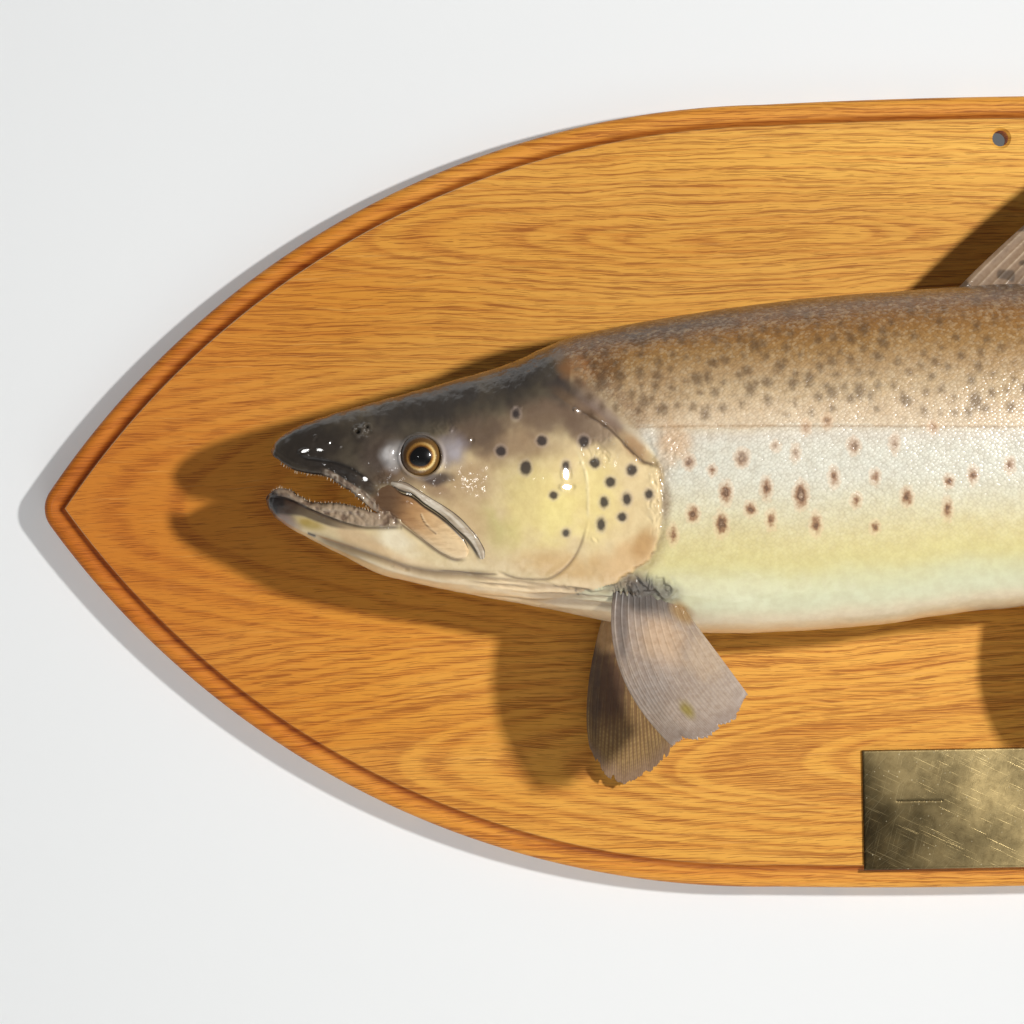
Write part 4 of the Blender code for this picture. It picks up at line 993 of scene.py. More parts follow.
def across_mouth(arcs, height_at):
    """Rows of points inside the mouth from the end of each arc back to its start."""
    share = np.arange(1, COLUMNS_INSIDE) / COLUMNS_INSIDE
    rows = arcs[:, -1:] + (arcs[:, :1] - arcs[:, -1:]) * share[None, :, None]
    rows[..., 2] += height_at(rows[..., 0], share)
    return rows


def palate_height(x, share):
    return palate_at(x) * np.sin(math.pi * share) ** 0.7


def floor_height(x, share):
    tongue = TONGUE_RISE * np.maximum(0.0, np.cos((share - 0.5) * math.pi * TONGUE_WIDTH))
    return -trough_at(x) * (np.sin(math.pi * share) ** TROUGH_ROUNDNESS - tongue)


def way_round(rings):
    """Each point's way round its ring from the middle of the back, in millimetres."""
    length = np.cumsum(np.linalg.norm(rings - np.roll(rings, 1, axis=1), axis=2), axis=1)
    whole = length[:, -1]
    across = rings[..., 1] - middle_at(rings[..., 0])
    tops = []
    for row, beside, height in zip(length, across, rings[..., 2]):
        near_top = height > height.max() - NEAR_TOP
        tops.append(np.interp(0.0, beside[near_top], row[near_top]))
    from_top = length - np.array(tops)[:, None] + whole[:, None] / 2
    return from_top % whole[:, None] - whole[:, None] / 2


def skin_shape():
    """The bare skin: its points, its faces, which part each point is on, and its way round."""
    over = near_biased(COLUMNS_OVER)
    under = 1 - near_biased(COLUMNS_UNDER)[::-1]
    head = stations(MOUTH_CORNER, HEAD_STATIONS_END, HEAD_STEP)
    x = np.concatenate([head, stations(HEAD_STATIONS_END, TAIL_TAPER_END, BODY_STEP)[1:]])[:, None]
    back = resample(arcs_over(x, part_at(x), bottom_at(x)), over)
    belly = resample(arcs_under(x, part_at(x)), under)
    body = np.concatenate([back, belly[:, 1:-1]], axis=1)
    x = jaw_stations(UPPER_TIP)
    edge = upper_jaw_at(x)
    snout = resample(arcs_over(x, edge, np.minimum(bottom_at(x), edge - ROOF_BELOW_EDGE)), over)
    snout = np.concatenate([snout, across_mouth(snout, palate_height)], axis=1)
    jaw = resample(jaw_arcs(jaw_stations(LOWER_TIP)), under)
    jaw = np.concatenate([jaw, across_mouth(jaw, floor_height)], axis=1)
    corner = across_mouth(back[:1], lambda x, share: 0.0)
    ends = np.array([snout[0].mean(axis=0), jaw[0].mean(axis=0), body[-1].mean(axis=0)])[None]
    blocks = (body, snout, jaw, corner, ends)
    sizes = [block[..., 0].size for block in blocks]
    part = np.repeat([BODY, SNOUT, JAW, INSIDE_MOUTH, CLOSED_END], sizes)
    numbers = np.split(np.arange(len(part)), np.cumsum(sizes)[:-1])
    numbers = [own.reshape(block.shape[:2]) for own, block in zip(numbers, blocks)]
    body_ids, snout_ids, jaw_ids, corner_ids, end_ids = numbers
    # Points of the palate and of the mouth's floor lie beyond the arcs in each row
    part[snout_ids[:, COLUMNS_OVER + 1:]] = INSIDE_MOUTH
    part[jaw_ids[:, COLUMNS_UNDER + 1:]] = INSIDE_MOUTH
    first = body_ids[0]
    over_end = np.concatenate([first[: COLUMNS_OVER + 1], corner_ids[0]])
    under_end = np.concatenate([first[COLUMNS_OVER:], first[:1], corner_ids[0, ::-1]])
    snout_ids = np.concatenate([snout_ids, over_end[None]])
    jaw_ids = np.concatenate([jaw_ids, under_end[None]])
    sides = np.concatenate([ring_faces(rows) for rows in (body_ids, snout_ids, jaw_ids)])
    rings = (snout_ids[0], jaw_ids[0], body_ids[-1, ::-1])
    fans = [face for centre, ring in zip(end_ids[0], rings) for face in fan(centre, ring)]
    points = np.concatenate([block.reshape(-1, 3) for block in blocks])
    around = np.zeros(len(points))
    around[: body_ids.size] = way_round(body).ravel()
    return points, outwards(points, sides, fans), part, around


def crumple(x, z, seed=11):
    """The height of folds where the skin dried unevenly."""
    height = np.zeros(x.shape)
    for k, (*place, depth, apart) in enumerate(CRUMPLES):
        reach = oval(x, z, *place)
        near = reach < 1.2
        strength = smooth_step(1.15, 0.45, reach[near])
        px, pz = x[near] / apart, z[near] / apart
        bend = noise(seed + k, px / 2.5, pz / 2.5) * 1.4
        folds = 1 - np.abs(noise(seed + 31 * k, px + bend, pz * 0.75 - bend)) * 2
        height[near] += depth * strength * folds
    return height


def depth_within(line, closing, x, z):
    """How far inside an outline's line a point lies, and where along the line."""
    distance, share = distance_to(line, x, z, 80)
    return np.where(inside(line + closing, x, z), distance, -distance), share


def eye_shape(x, z):
    """The raised rim round the eye, the hollow for the eyeball, and the swollen skin about it."""
    reach = np.hypot(x - EYE_X, z - EYE_Z)
    rim = 0.9 * bell(reach - EYE_OPENING - 0.7, 0.9)
    hollow = -4.5 * smooth_step(EYE_OPENING - 0.1, EYE_OPENING - 1.8, reach)
    swollen = sum(rise * bell(oval(x - EYE_X, z - EYE_Z, *place), 1.0) for *place, rise in ROUND_EYE)
    return rim + hollow + swollen * smooth_step(EYE_OPENING, EYE_OPENING + 2.5, reach)


def pleats(x, z):
    """Long pleats in the skin under the gill cover, from -1 to 1, and how strong they are."""
    under = pleats_top_at(x) - z
    strength = smooth_step(-250.0, -236.0, x) * smooth_step(-166.0, -176.0, x)
    strength *= smooth_step(-0.5, 1.0, under) * smooth_step(PLEATS_DEPTH, PLEATS_DEPTH - 4.0, under)
    wavy = under + 1.2 * noise(34, x / 17, under / 6)
    return np.clip(1.6 * noise(33, x / 34, wavy / 1.15), -1.0, 1.0), strength


def gill_edge_wave(x, z):
    return 0.9 * noise(8, x / 2.6, z / 2.6)


def head_relief(x, z):
    """The height of the head's folds, ridges, bulges and nostrils and of the skin round its eye."""
    height = crumple(x, z) + eye_shape(x, z)
    distance, share = distance_to(PREOPERCLE, x, z)
    uneven = 0.2 * (1 + noise(64, x / 2.0, z / 2.0))
    height += uneven * bell(distance, 0.6) * smooth_step(0.0, 0.1, share) * smooth_step(0.7, 0.5, share)
    for line, rise, width, start, end in HEAD_FOLDS:
        distance, share = distance_to(line, x, z)
        height += rise * bell(distance, width) * faded(share, start, end)
    for *place, rise in SWELLINGS:
        height += rise * bell(oval(x, z, *place), 1.0)
    height += 0.16 * noise(61, x / 2.6, z / 2.3) * smooth_step(-3.0, 3.0, z - dark_top_at(x))
    pleat, strength = pleats(x, z)
    height += 0.45 * pleat * strength
    for cx, cz, radius in NOSTRILS:
        pit = np.hypot(x - cx, (z - cz) * 1.25)
        height += 0.55 * bell(pit - radius - 0.6, 0.7) - 2.2 * smooth_step(radius, radius - 1.1, pit)
    return height


def mouth_relief(x, z, part):
    """The height of the lips' roll, of the lumpy gums and of the groove below them."""
    height = np.zeros(x.shape)
    for edge, own_part in ((z - upper_jaw_at(x), SNOUT), (lower_jaw_at(x) - z, JAW)):
        roll = np.sin(math.pi * np.clip((edge + 1.0) / (LIP_HEIGHT + 1.0), 0.0, 1.0))
        height += lip_at(x) * roll * (part == own_part)
    band = z - gum_band_at(x)
    lumps = 0.45 * noise(21, x / 1.7, z / 2.2) + 0.3 * noise(22, x / 0.8, z / 0.9)
    gum = (band > 0) & (x < GUM_END) & (z < lower_jaw_at(x) + 1.0) & (part != SNOUT)
    height += (0.35 + lumps) * gum
    upper_gum = (part == SNOUT) & (z < gum_top_at(x)) & (x > UPPER_GUM_START)
    height += (0.1 + lumps * 0.8) * upper_gum
    groove = (part == JAW) | ((part == BODY) & (x < GUM_END))
    return height - 0.6 * bell(band + 0.8, 0.8) * groove


def skin_relief(x, z, part, gill, gill_share, ahead):
    """How far the finished skin stands out from the bare one."""
    height = 0.22 * noise(5, x / 13, z / 11) + 0.08 * noise(6, x / 3.6, z / 3.2)
    height += 0.03 * noise(7, x / 1.3, z / 1.2)
    along_edge = smooth_step(0.06, 0.18, gill_share) * smooth_step(1.0, 0.7, gill_share)
    edge = gill + gill_edge_wave(x, z)
    height += along_edge * 1.35 * smooth_step(-0.6, 0.8, edge) * bell(gill, 13.0)
    height -= along_edge * 0.4 * bell(edge + 1.1, 0.9)
    head = x < HEAD_RELIEF_END
    height[head] += head_relief(x[head], z[head])
    height += mouth_relief(x, z, part)
    height -= 0.16 * bell(z - lateral_at(x), 0.6) * smooth_step(0.0, -6.0, ahead)
    in_mouth = 0.25 * noise(9, x / 2.2, z / 2.2) * (part == INSIDE_MOUTH)
    return np.where(part <= JAW, height, in_mouth)


# The flank's colours: (share of the way from the lateral line to the back or to the belly, colour)
BACK_COLOURS = [
    (0.0, (224, 204, 174)), (0.13, (218, 194, 160)), (0.28, (202, 176, 138)), (0.45, (182, 150, 108)),
    (0.6, (166, 128, 78)), (0.77, (148, 104, 52)), (0.9, (122, 84, 46)), (1.0, (90, 66, 46)),
]
BELLY_COLOURS = [
    (0.0, (222, 208, 182)), (0.06, (222, 216, 200)), (0.2, (222, 220, 204)), (0.42, (222, 214, 178)),
    (0.54, (221, 209, 156)), (0.65, (219, 208, 146)), (0.75, (216, 213, 168)), (0.86, (222, 221, 186)),
    (0.93, (230, 213, 178)), (1.0, (228, 200, 160)),
]
# Soft sprays of paint on the head: (x, height, half length, half height, tilt, colour, strength)
HEAD_SPRAYS = [
    (-182.0, 4.0, 34.0, 46.0, 0, (236, 212, 162), 0.9),
    # A painted highlight in the middle of the gill cover
    (-188.0, 0.0, 15.0, 24.0, 0, (242, 222, 150), 0.8),
    (-214.0, -2.0, 24.0, 28.0, 0, (236, 216, 148), 0.9),
    (-206.0, -8.0, 12.0, 14.0, 0, (244, 228, 150), 0.6),
    (-230.0, -16.0, 11.0, 12.0, 0, (214, 198, 130), 0.6),
    (-174.0, -28.0, 24.0, 11.0, 20, (224, 186, 134), 0.8),
    (-206.0, -30.0, 26.0, 9.0, -8, (216, 178, 120), 0.75),
    # The throat's pale colour, with painted light from below on top of it
    (-215.0, -45.0, 60.0, 11.0, -6, (250, 222, 178), 0.9),
    (-262.0, -36.0, 34.0, 9.0, -14, (240, 212, 168), 0.85),
    (-192.0, 36.0, 24.0, 13.0, -36, (134, 112, 96), 0.85),
    (-226.0, 26.0, 30.0, 13.0, 0, (158, 130, 102), 0.85),
    (-246.0, 8.0, 16.0, 15.0, -30, (186, 156, 118), 0.8),
    (-167.0, -21.0, 5.5, 10.0, -24, (194, 150, 94), 0.75),
    (-240.0, 31.0, 20.0, 12.0, 0, (102, 84, 70), 0.9),
    (-207.0, 37.0, 24.0, 12.0, -8, (122, 100, 82), 0.9),
    (-236.0, -12.0, 9.0, 13.0, 20, (198, 186, 122), 0.6),
    (-247.0, -10.0, 12.0, 24.0, 35, (206, 176, 132), 0.75),
    (-262.0, 6.0, 16.0, 6.0, -30, (160, 130, 100), 0.8),
    (-259.5, 10.2, 10.5, 3.8, 6, (78, 66, 64), 0.9),
    (-284.0, 21.0, 16.0, 17.0, 0, (82, 69, 60), 0.95),
    (-277.0, 12.0, 10.0, 6.0, -20, (118, 94, 74), 0.8),
    (-316.0, 26.0, 34.0, 20.0, 20, (46, 39, 33), 0.95),
    (-262.0, 44.0, 40.0, 14.0, 14, (60, 54, 49), 0.95),
    (-222.0, 56.0, 26.0, 15.0, 25, (56, 50, 45), 0.95),
    (-279.0, 21.5, 7.5, 8.5, 0, (176, 172, 170), 0.85),
    (-281.0, 22.5, 3.4, 4.4, 0, (214, 210, 208), 0.6),
    (-253.5, 22.5, 9.5, 10.5, 0, (150, 142, 150), 0.8),
    (-251.5, 23.5, 4.5, 6.0, 0, (188, 182, 188), 0.5),
    (-302.0, 13.0, 19.0, 6.8, -36, (42, 35, 30), 0.95),
    (-284.0, 0.0, 10.0, 9.0, -40, (116, 84, 58), 0.95),
    (-291.0, 7.0, 8.0, 6.0, -40, (60, 48, 40), 0.9),
    (-284.0, 10.0, 8.0, 4.5, -20, (92, 74, 58), 0.92),
    (-296.5, -15.0, 18.0, 5.0, -22, (214, 184, 142), 0.85),
    (-279.0, -17.0, 14.0, 7.0, -30, (238, 226, 196), 0.85),
    (-290.0, -21.0, 22.0, 4.0, -22, (222, 190, 144), 0.8),
    (-318.0, -9.2, 10.0, 3.6, -16, (178, 152, 78), 0.9),
    (-320.0, -8.0, 4.0, 2.4, -16, (172, 142, 50), 0.5),
    (-300.0, -22.5, 14.0, 3.0, -22, (176, 148, 104), 0.6),
    (-328.0, -8.0, 8.0, 4.0, -30, (156, 132, 118), 0.8),
    (-193.0, 48.5, 15.0, 9.0, -42, (112, 96, 90), 0.9),
    (-181.0, 37.0, 17.0, 5.0, -44, (132, 114, 106), 0.9),
    (-170.0, 23.0, 10.0, 6.0, -44, (184, 148, 110), 0.85),
    (-202.5, 50.5, 12.0, 9.0, -40, (66, 58, 54), 0.92),
    (-199.0, 59.5, 7.0, 7.0, 30, (136, 94, 60), 0.8),
]
# Sprays behind the head, in the same terms
BODY_SPRAYS = [
    (-188.0, 62.0, 18.0, 18.0, 0, (120, 82, 46), 0.85),
    (-194.0, 59.0, 8.0, 9.0, 30, (162, 108, 60), 0.8),
    (-160.0, 80.0, 60.0, 11.0, 8, (80, 64, 54), 0.9),
    (-176.0, 42.0, 18.0, 8.0, -46, (150, 124, 98), 0.8),
    (-160.0, 46.0, 22.0, 16.0, 0, (170, 136, 96), 0.5),
    (-153.0, 24.0, 11.0, 12.0, 0, (210, 172, 130), 0.75),
    # Painted shade on the flank beside the gill cover's hind edge
    (-157.0, -4.0, 3.6, 10.0, 0, (160, 146, 124), 0.75),
    (-166.0, -42.0, 19.0, 8.5, -14, (98, 91, 86), 0.97),
    (-149.5, -52.0, 7.0, 5.0, -30, (180, 142, 90), 0.85),
]
# Where two cheek bones meet, and the lower edge of the upper jaw bone
PLATES_MEET = [
    (-283.5, 9.4), (-275.4, 4.7), (-271.6, 3.7), (-265.8, -0.8), (-258.2, -6.2), (-250.7, -13.2),
    (-246.0, -18.4), (-243.2, -22.4), (-240.4, -29.0),
]
MAXILLA_UNDER = [
    (-283.0, -4.6), (-274.7, -11.3), (-268.9, -15.9), (-264.1, -19.8), (-257.2, -24.5), (-251.0, -26.8),
    (-246.0, -26.6),
]
# Thin strokes: (line, colour, half width, strength)
HEAD_STROKES = [
    (LIP_GROOVE, (24, 19, 16), 0.8, 0.8),
    # A pale line on the preopercle's ridge, partly its own colour and partly a painted highlight
    (PREOPERCLE[:4], (246, 232, 186), 0.7, 0.5),
    (CHEEK_EDGE, (110, 84, 56), 0.6, 0.7),
    (JAW_FOLD, (118, 92, 60), 2.1, 0.8),
    (PLATES_MEET, (32, 25, 21), 0.75, 0.95),
    # Painted shadow under the upper jaw bone's lower edge
    (MAXILLA_UNDER, (92, 68, 50), 0.8, 0.8),
    # A painted highlight along the ridge under the lower jaw
    (JAW_RIDGE, (244, 226, 190), 0.9, 0.5),
    ([(-260.2, -31.4), (-250.5, -32.2), (-243.5, -33.4), (-231.8, -33.6)], (96, 74, 50), 0.4, 0.8),
    ([(-319.5, -13.2), (-315.5, -15.0)], (20, 16, 14), 0.7, 0.95),
]
PLEAT_SHADE = (140, 110, 80)
THROAT_DOTS = [(-197.5, -41.8), (-196.6, -43.6)]
JAW_TIP_COLOUR = (36, 30, 28)
MOUTH_COLOUR = (120, 84, 66)
GUM_COLOUR = (160, 138, 116)
GUM_PIT_SHADE = (92, 66, 50)
DARK_LIP_COLOUR = (62, 43, 33)
UPPER_GUM_COLOUR = (142, 122, 104)
GILL_LINE_COLOUR = (104, 80, 58)
GILL_FOLD_COLOUR = (48, 38, 34)
EYELID_COLOUR = (150, 140, 136)
LATERAL_COLOUR = (160, 124, 86)
HEAD_GROUND = (226, 204, 158)
HEAD_DARK = (64, 57, 51)
GILL_SHADE = (150, 118, 84)
UPPER_GUM_PITS = (84, 66, 54)
UPPER_GUM_GRAINS = (196, 186, 170)
TAIL_SHADE = (122, 102, 76)

# Spots on the gill cover and the flank: (x, height, radius)
GILL_SPOTS = [
    (-230.3, 22.2, 2.3), (-211.7, 26.4, 2.3), (-192.8, 25.6, 2.3), (-219.1, 14.3, 2.5),
    (-206.7, 1.9, 1.8), (-201.6, -15.4, 1.7), (-181.2, 7.3, 2.3), (-184.2, -1.7, 1.9),
    (-173.9, -0.5, 1.9), (-185.7, -11.8, 1.9), (-176.2, -8.6, 2.0), (-171.4, 12.5, 2.3),
    (-163.9, 1.5, 1.8), (-188.0, 16.0, 2.3), (-201.1, 14.9, 1.6), (-223.2, 38.9, 1.6),
]
FLANK_SPOTS = [
    (-159.1, 54.9, 1.8), (-141.1, 53.1, 1.8), (-184.0, 53.5, 1.8), (-175.8, 55.2, 1.8),
    (-156.8, 39.8, 1.4), (-165.3, 43.6, 1.8), (-138.0, 37.2, 1.4), (-145.6, 15.6, 2.5),
    (-135.3, 11.8, 1.6), (-121.7, 17.0, 3.2), (-129.2, 1.4, 2.7), (-110.9, 3.3, 2.3),
    (-95.4, -0.2, 3.2), (-118.3, -6.1, 2.5), (-144.2, -7.8, 2.7), (-131.4, -12.6, 2.9),
    (-109.1, -11.2, 1.8), (-88.8, -13.4, 2.3), (-153.3, -16.7, 1.8), (-106.5, 22.1, 1.6),
    (-97.4, 18.8, 1.6), (-92.6, 30.4, 1.8), (-83.1, 33.0, 2.0), (-80.4, 7.7, 2.0),
    (-61.9, 7.3, 1.8), (-71.2, 21.5, 2.5), (-70.6, -2.9, 2.0), (-47.6, -1.9, 2.5),
    (-29.3, -7.7, 2.0), (-62.1, -15.2, 1.8), (-28.6, 4.9, 2.0), (-0.9, 11.6, 2.0),
    (-17.7, 7.4, 2.0), (-35.4, 29.4, 1.8), (-52.9, 22.5, 1.8), (-15.7, 40.8, 2.3),
    (-47.2, 41.4, 2.0), (-103.5, 58.3, 1.8), (-118.5, 56.3, 1.8), (-90.6, 52.1, 1.8),
    (-109.6, 51.1, 1.8), (-97.9, 50.9, 1.8), (-117.4, 48.1, 1.8), (-80.5, 46.1, 1.8),
    (-59.1, 62.0, 1.8), (-57.0, 68.4, 1.8), (-70.9, 70.1, 1.8), (-64.8, 74.6, 1.8),
    (-68.3, 46.7, 1.8), (-114.4, 68.2, 1.8), (-133.7, 60.3, 1.8),
]
# Scattered spots: seed, number, x from and to, share of the way up or down, radii, least spacing
BACK_SPECKLES = (17, 400, (-196.0, 300.0), (0.08, 0.97), (0.8, 1.9), 5.6)
REAR_SPOTS = (23, 46, (6.0, 290.0), (-0.62, 0.35), (1.6, 2.6), 11.0)
SPOT_REACH = 7.0
# Wet crumpled skin at the pectoral fin's root: x, height, half length and half height
WET_FOLDS = (-166.0, -42.0, 14.0, 7.0)
# Flat places in the varnish on the near side that mirror a light towards the camera:
# (x, height, half length, half height, tilt, light)
GLINTS = [
    (-319.6, 24.1, 2.3, 0.9, 10, LEFT_LIGHT), (-312.9, 24.4, 1.8, 0.8, -4, LEFT_LIGHT),
    (-292.3, 10.8, 1.8, 1.1, -40, LEFT_LIGHT), (-314.9, 29.9, 0.6, 1.1, 0, LEFT_LIGHT),
    (-308.1, 27.5, 0.8, 0.7, 0, KEY_LIGHT), (-303.1, 25.5, 0.7, 0.5, 0, KEY_LIGHT),
    (-279.4, 22.8, 1.0, 1.5, 0, LEFT_LIGHT), (-201.1, 11.3, 1.7, 2.6, 0, KEY_LIGHT),
    (-200.8, 5.4, 2.4, 1.4, 0, KEY_LIGHT), (-193.4, 16.1, 0.8, 0.7, 0, KEY_LIGHT),
    (-183.4, 20.9, 0.7, 0.7, 0, KEY_LIGHT), (-252.4, 31.8, 0.7, 0.6, 0, KEY_LIGHT),
    (-243.8, 27.5, 0.9, 0.8, 0, KEY_LIGHT), (-223.6, 41.6, 0.9, 0.5, 0, KEY_LIGHT),
    (-220.4, 41.6, 0.6, 0.5, 0, KEY_LIGHT), (-195.2, 39.7, 1.6, 0.8, -30, KEY_LIGHT),
    (-277.3, -30.0, 2.6, 0.5, -14, KEY_LIGHT), (-188.6, -18.8, 1.2, 0.6, -30, KEY_LIGHT),
    (-144.2, 67.9, 0.6, 0.8, 0, KEY_LIGHT), (-298.2, 15.4, 0.6, 0.5, 0, KEY_LIGHT),
    (-168.4, -40.9, 1.2, 0.6, 20, KEY_LIGHT), (-173.0, -39.5, 0.9, 0.7, 0, KEY_LIGHT),
    (-159.4, -42.0, 1.4, 0.6, -20, KEY_LIGHT), (-156.4, -44.0, 0.7, 1.0, 0, KEY_LIGHT),
]
SCALE_LENGTH = 2.2
SCALE_HEIGHT = 1.9
SCALES_TURN = math.pi / 4
SKIN_NODES = [
    "head_skull", "lower_jaw", "body_front", "body_middle", "body_rear", "tail_stem",
    "gill_cover_near", "gill_cover_far",
]


def colours_through(bands):
    parts = [curve_through([(at, float(linear(colour)[k])) for at, colour in bands]) for k in range(3)]
    return lambda share: stacked(*(part(share) for part in parts))


def tint(paint, share, colour):
    paint += (linear(colour) - paint) * share[:, None]


def spray(paint, x, z, sprays, seed=40):
    """Lays soft, slightly uneven sprays of colour over the paint, one after another."""
    uneven = 0.16 * noise(seed, x / 7, z / 7) + 0.08 * noise(seed + 1, x / 2.6, z / 2.6)
    for *place, colour, strength in sprays:
        tint(paint, strength * smooth_step(1.1, 0.3, oval(x, z, *place) + uneven), colour)


def scatter(seed, count, ends, shares, radii, spacing):
    """Spots thrown at random over a stretch of the flank, at least the spacing apart."""
    draw = random.Random(seed)
    spots = []
    for _ in range(count * 12):
        if len(spots) == count:
            break
        x = draw.uniform(*ends)
        share = draw.uniform(*shares)
        radius = draw.uniform(*radii)
        level = float(lateral_at(x))
        reach = float(top_at(x)) - level if share > 0 else level - float(bottom_at(x))
        z = level + share * reach
        if all(math.hypot(x - other[0], z - other[1]) > spacing for other in spots):
            spots.append((x, z, radius))
    return spots


def spot_field(spots, x, z, tall=1.0):
    """Each point's distance to the edge of the nearest spot, below nought inside it."""
    field = np.full(x.shape, SPOT_REACH)
    order = np.argsort(x)
    ordered = x[order]
    for cx, cz, radius in spots:
        low, high = np.searchsorted(ordered, (cx - SPOT_REACH - radius, cx + SPOT_REACH + radius))
        near = order[low:high]
        stretch = (0.85 + 0.2 * math.sin(3.7 * cx)) / tall
        distance = np.hypot(x[near] - cx, (z[near] - cz) * stretch) - radius / tall**0.5
        field[near] = np.minimum(field[near], distance)
    return field


def flank_paint(x, z):
    """The colours from the back to the belly, with the lateral line not yet drawn."""
    level = lateral_at(x)
    wavy = z + 1.6 * noise(50, x / 24, z / 16) + 0.6 * noise(51, x / 5, z / 4)
    up = np.clip((wavy - level) / (top_at(x) - level), 0.0, 1.0)
    down = np.clip((level - wavy) / (level - bottom_at(x)), 0.0, 1.0)
    back, belly = colours_through(BACK_COLOURS)(up), colours_through(BELLY_COLOURS)(down)
    paint = np.where((wavy > level)[:, None], back, belly)
    # Greyer and darker towards the tail, where the pale belly narrows
    tint(paint, 0.3 * smooth_step(60.0, 300.0, x) * (1 - down), TAIL_SHADE)
    return paint


def head_paint(x, z):
    """The head's own colours: a pale ground, its dark top, the sprays and the strokes."""
    paint = np.tile(linear(HEAD_GROUND), (len(x), 1))
    dark = smooth_step(-7.0, 7.0, z - dark_top_at(x) + 3.0 * noise(60, x / 9, z / 9))
    tint(paint, 0.9 * dark, HEAD_DARK)
    spray(paint, x, z, HEAD_SPRAYS)
    for line, colour, width, strength in HEAD_STROKES:
        distance, share = distance_to(line, x, z)
        tint(paint, strength * faded(share, 0.12, 0.88) * bell(distance, width), colour)
    lid = np.hypot(x - EYE_X, z - EYE_Z) - EYE_OPENING - 0.4
    tint(paint, 0.6 * bell(lid, 0.4), EYELID_COLOUR)
    return paint


def paint_gill_edge(paint, x, z, gill, gill_share):
    """Lines and painted shade along the gill cover's hind edge, and the pleats, with painted shade in
    their hollows, and the dots in the skin below it.
    """
    edge = faded(gill_share, 0.08, 0.75)
    fold = smooth_step(0.42, 0.3, gill_share) * smooth_step(0.08, 0.15, gill_share)
    patchy = 0.55 + 0.45 * noise(62, x / 5, z / 5)
    wavy = gill + gill_edge_wave(x, z)
    tint(paint, 0.6 * edge * patchy * bell(wavy + 0.7, 0.7), GILL_LINE_COLOUR)
    tint(paint, 0.8 * fold * bell(gill + 0.5, 0.7), GILL_FOLD_COLOUR)
    # Painted shade on the skin just behind the gill cover's edge
    tint(paint, 0.35 * edge * bell(gill + 2.5, 2.4), GILL_SHADE)
    pleat, strength = pleats(x, z)
    # Painted shade in the pleats' hollows
    tint(paint, 0.6 * strength * smooth_step(0.0, -0.8, pleat), PLEAT_SHADE)
    for cx, cz in THROAT_DOTS:
        tint(paint, 0.9 * bell(np.hypot(x - cx, z - cz), 0.6), GILL_FOLD_COLOUR)


def paint_mouth(paint, x, z, part):
    """The dark lip, the gums, the lower jaw's dark tip and the inside of the mouth."""
    low = ((part == JAW) | ((part == BODY) & (x < -274))) & (z < lower_jaw_at(x) + 1.0)
    low = low * smooth_step(-274.0, -280.0, x)
    above_band = z - gum_band_at(x)
    lumps = 0.5 + 0.5 * noise(21, x / 1.7, z / 2.2)
    lip = smooth_step(-0.8, 0.8, z - dark_lip_at(x)) * smooth_step(0.5, -0.5, above_band)
    tint(paint, 0.85 * low * lip * smooth_step(-288.0, -312.0, x), DARK_LIP_COLOUR)
    tint(paint, 0.8 * low * bell(above_band + 0.7, 0.9), DARK_LIP_COLOUR)
    gum = low * smooth_step(-0.5, 0.5, above_band)
    tint(paint, 0.9 * gum, GUM_COLOUR)
    # Painted shade in the hollows between the gums' lumps
    tint(paint, 0.75 * gum * smooth_step(0.55, 0.1, lumps), GUM_PIT_SHADE)
    ragged = 1.5 * noise(63, x / 2.5, z / 2.5)
    tip = smooth_step(9.0, 6.0, np.hypot(x + 338.0, (z - 1.0) * 0.9) + ragged)
    tint(paint, 0.95 * tip * (part != SNOUT) * (x < -322), JAW_TIP_COLOUR)
    strip = smooth_step(0.5, -0.7, z - gum_top_at(x)) * smooth_step(-314.0, -304.0, x)
    strip *= (part == SNOUT) & (x < -284)
    grains = 0.5 + 0.5 * noise(23, x / 1.1, z / 1.3)
    tint(paint, 0.85 * strip, UPPER_GUM_COLOUR)
    tint(paint, 0.7 * strip * smooth_step(0.5, 0.15, grains), UPPER_GUM_PITS)
    tint(paint, 0.6 * strip * smooth_step(0.6, 0.85, grains), UPPER_GUM_GRAINS)
    tint(paint, 0.9 * (part == INSIDE_MOUTH), MOUTH_COLOUR)


def skin_paint(x, z, part, gill, gill_share, ahead):
    """The skin's colour at each point, without its spots."""
    paint = flank_paint(x, z)
    front = x < HEAD_PAINT_END
    fx, fz = x[front], z[front]
    body = paint[front]
    spray(body, fx, fz, BODY_SPRAYS)
    # The head's paint ends at the gill cover's edge, but fades out on the nape
    nape = smooth_step(12.0, 55.0, fz)
    start, end = -1.5 - 6.5 * nape, 0.6 + 7.4 * nape
    body += (head_paint(fx, fz) - body) * smooth_step(start, end, ahead[front])[:, None]
    paint_gill_edge(body, fx, fz, gill[front], gill_share[front])
    paint_mouth(body, fx, fz, part[front])
    paint[front] = body
    line = bell(z - lateral_at(x), 0.5) * smooth_step(2.0, -6.0, ahead)
    tint(paint, 0.6 * line, LATERAL_COLOUR)
    return np.clip(paint, 0.0, 1.0)


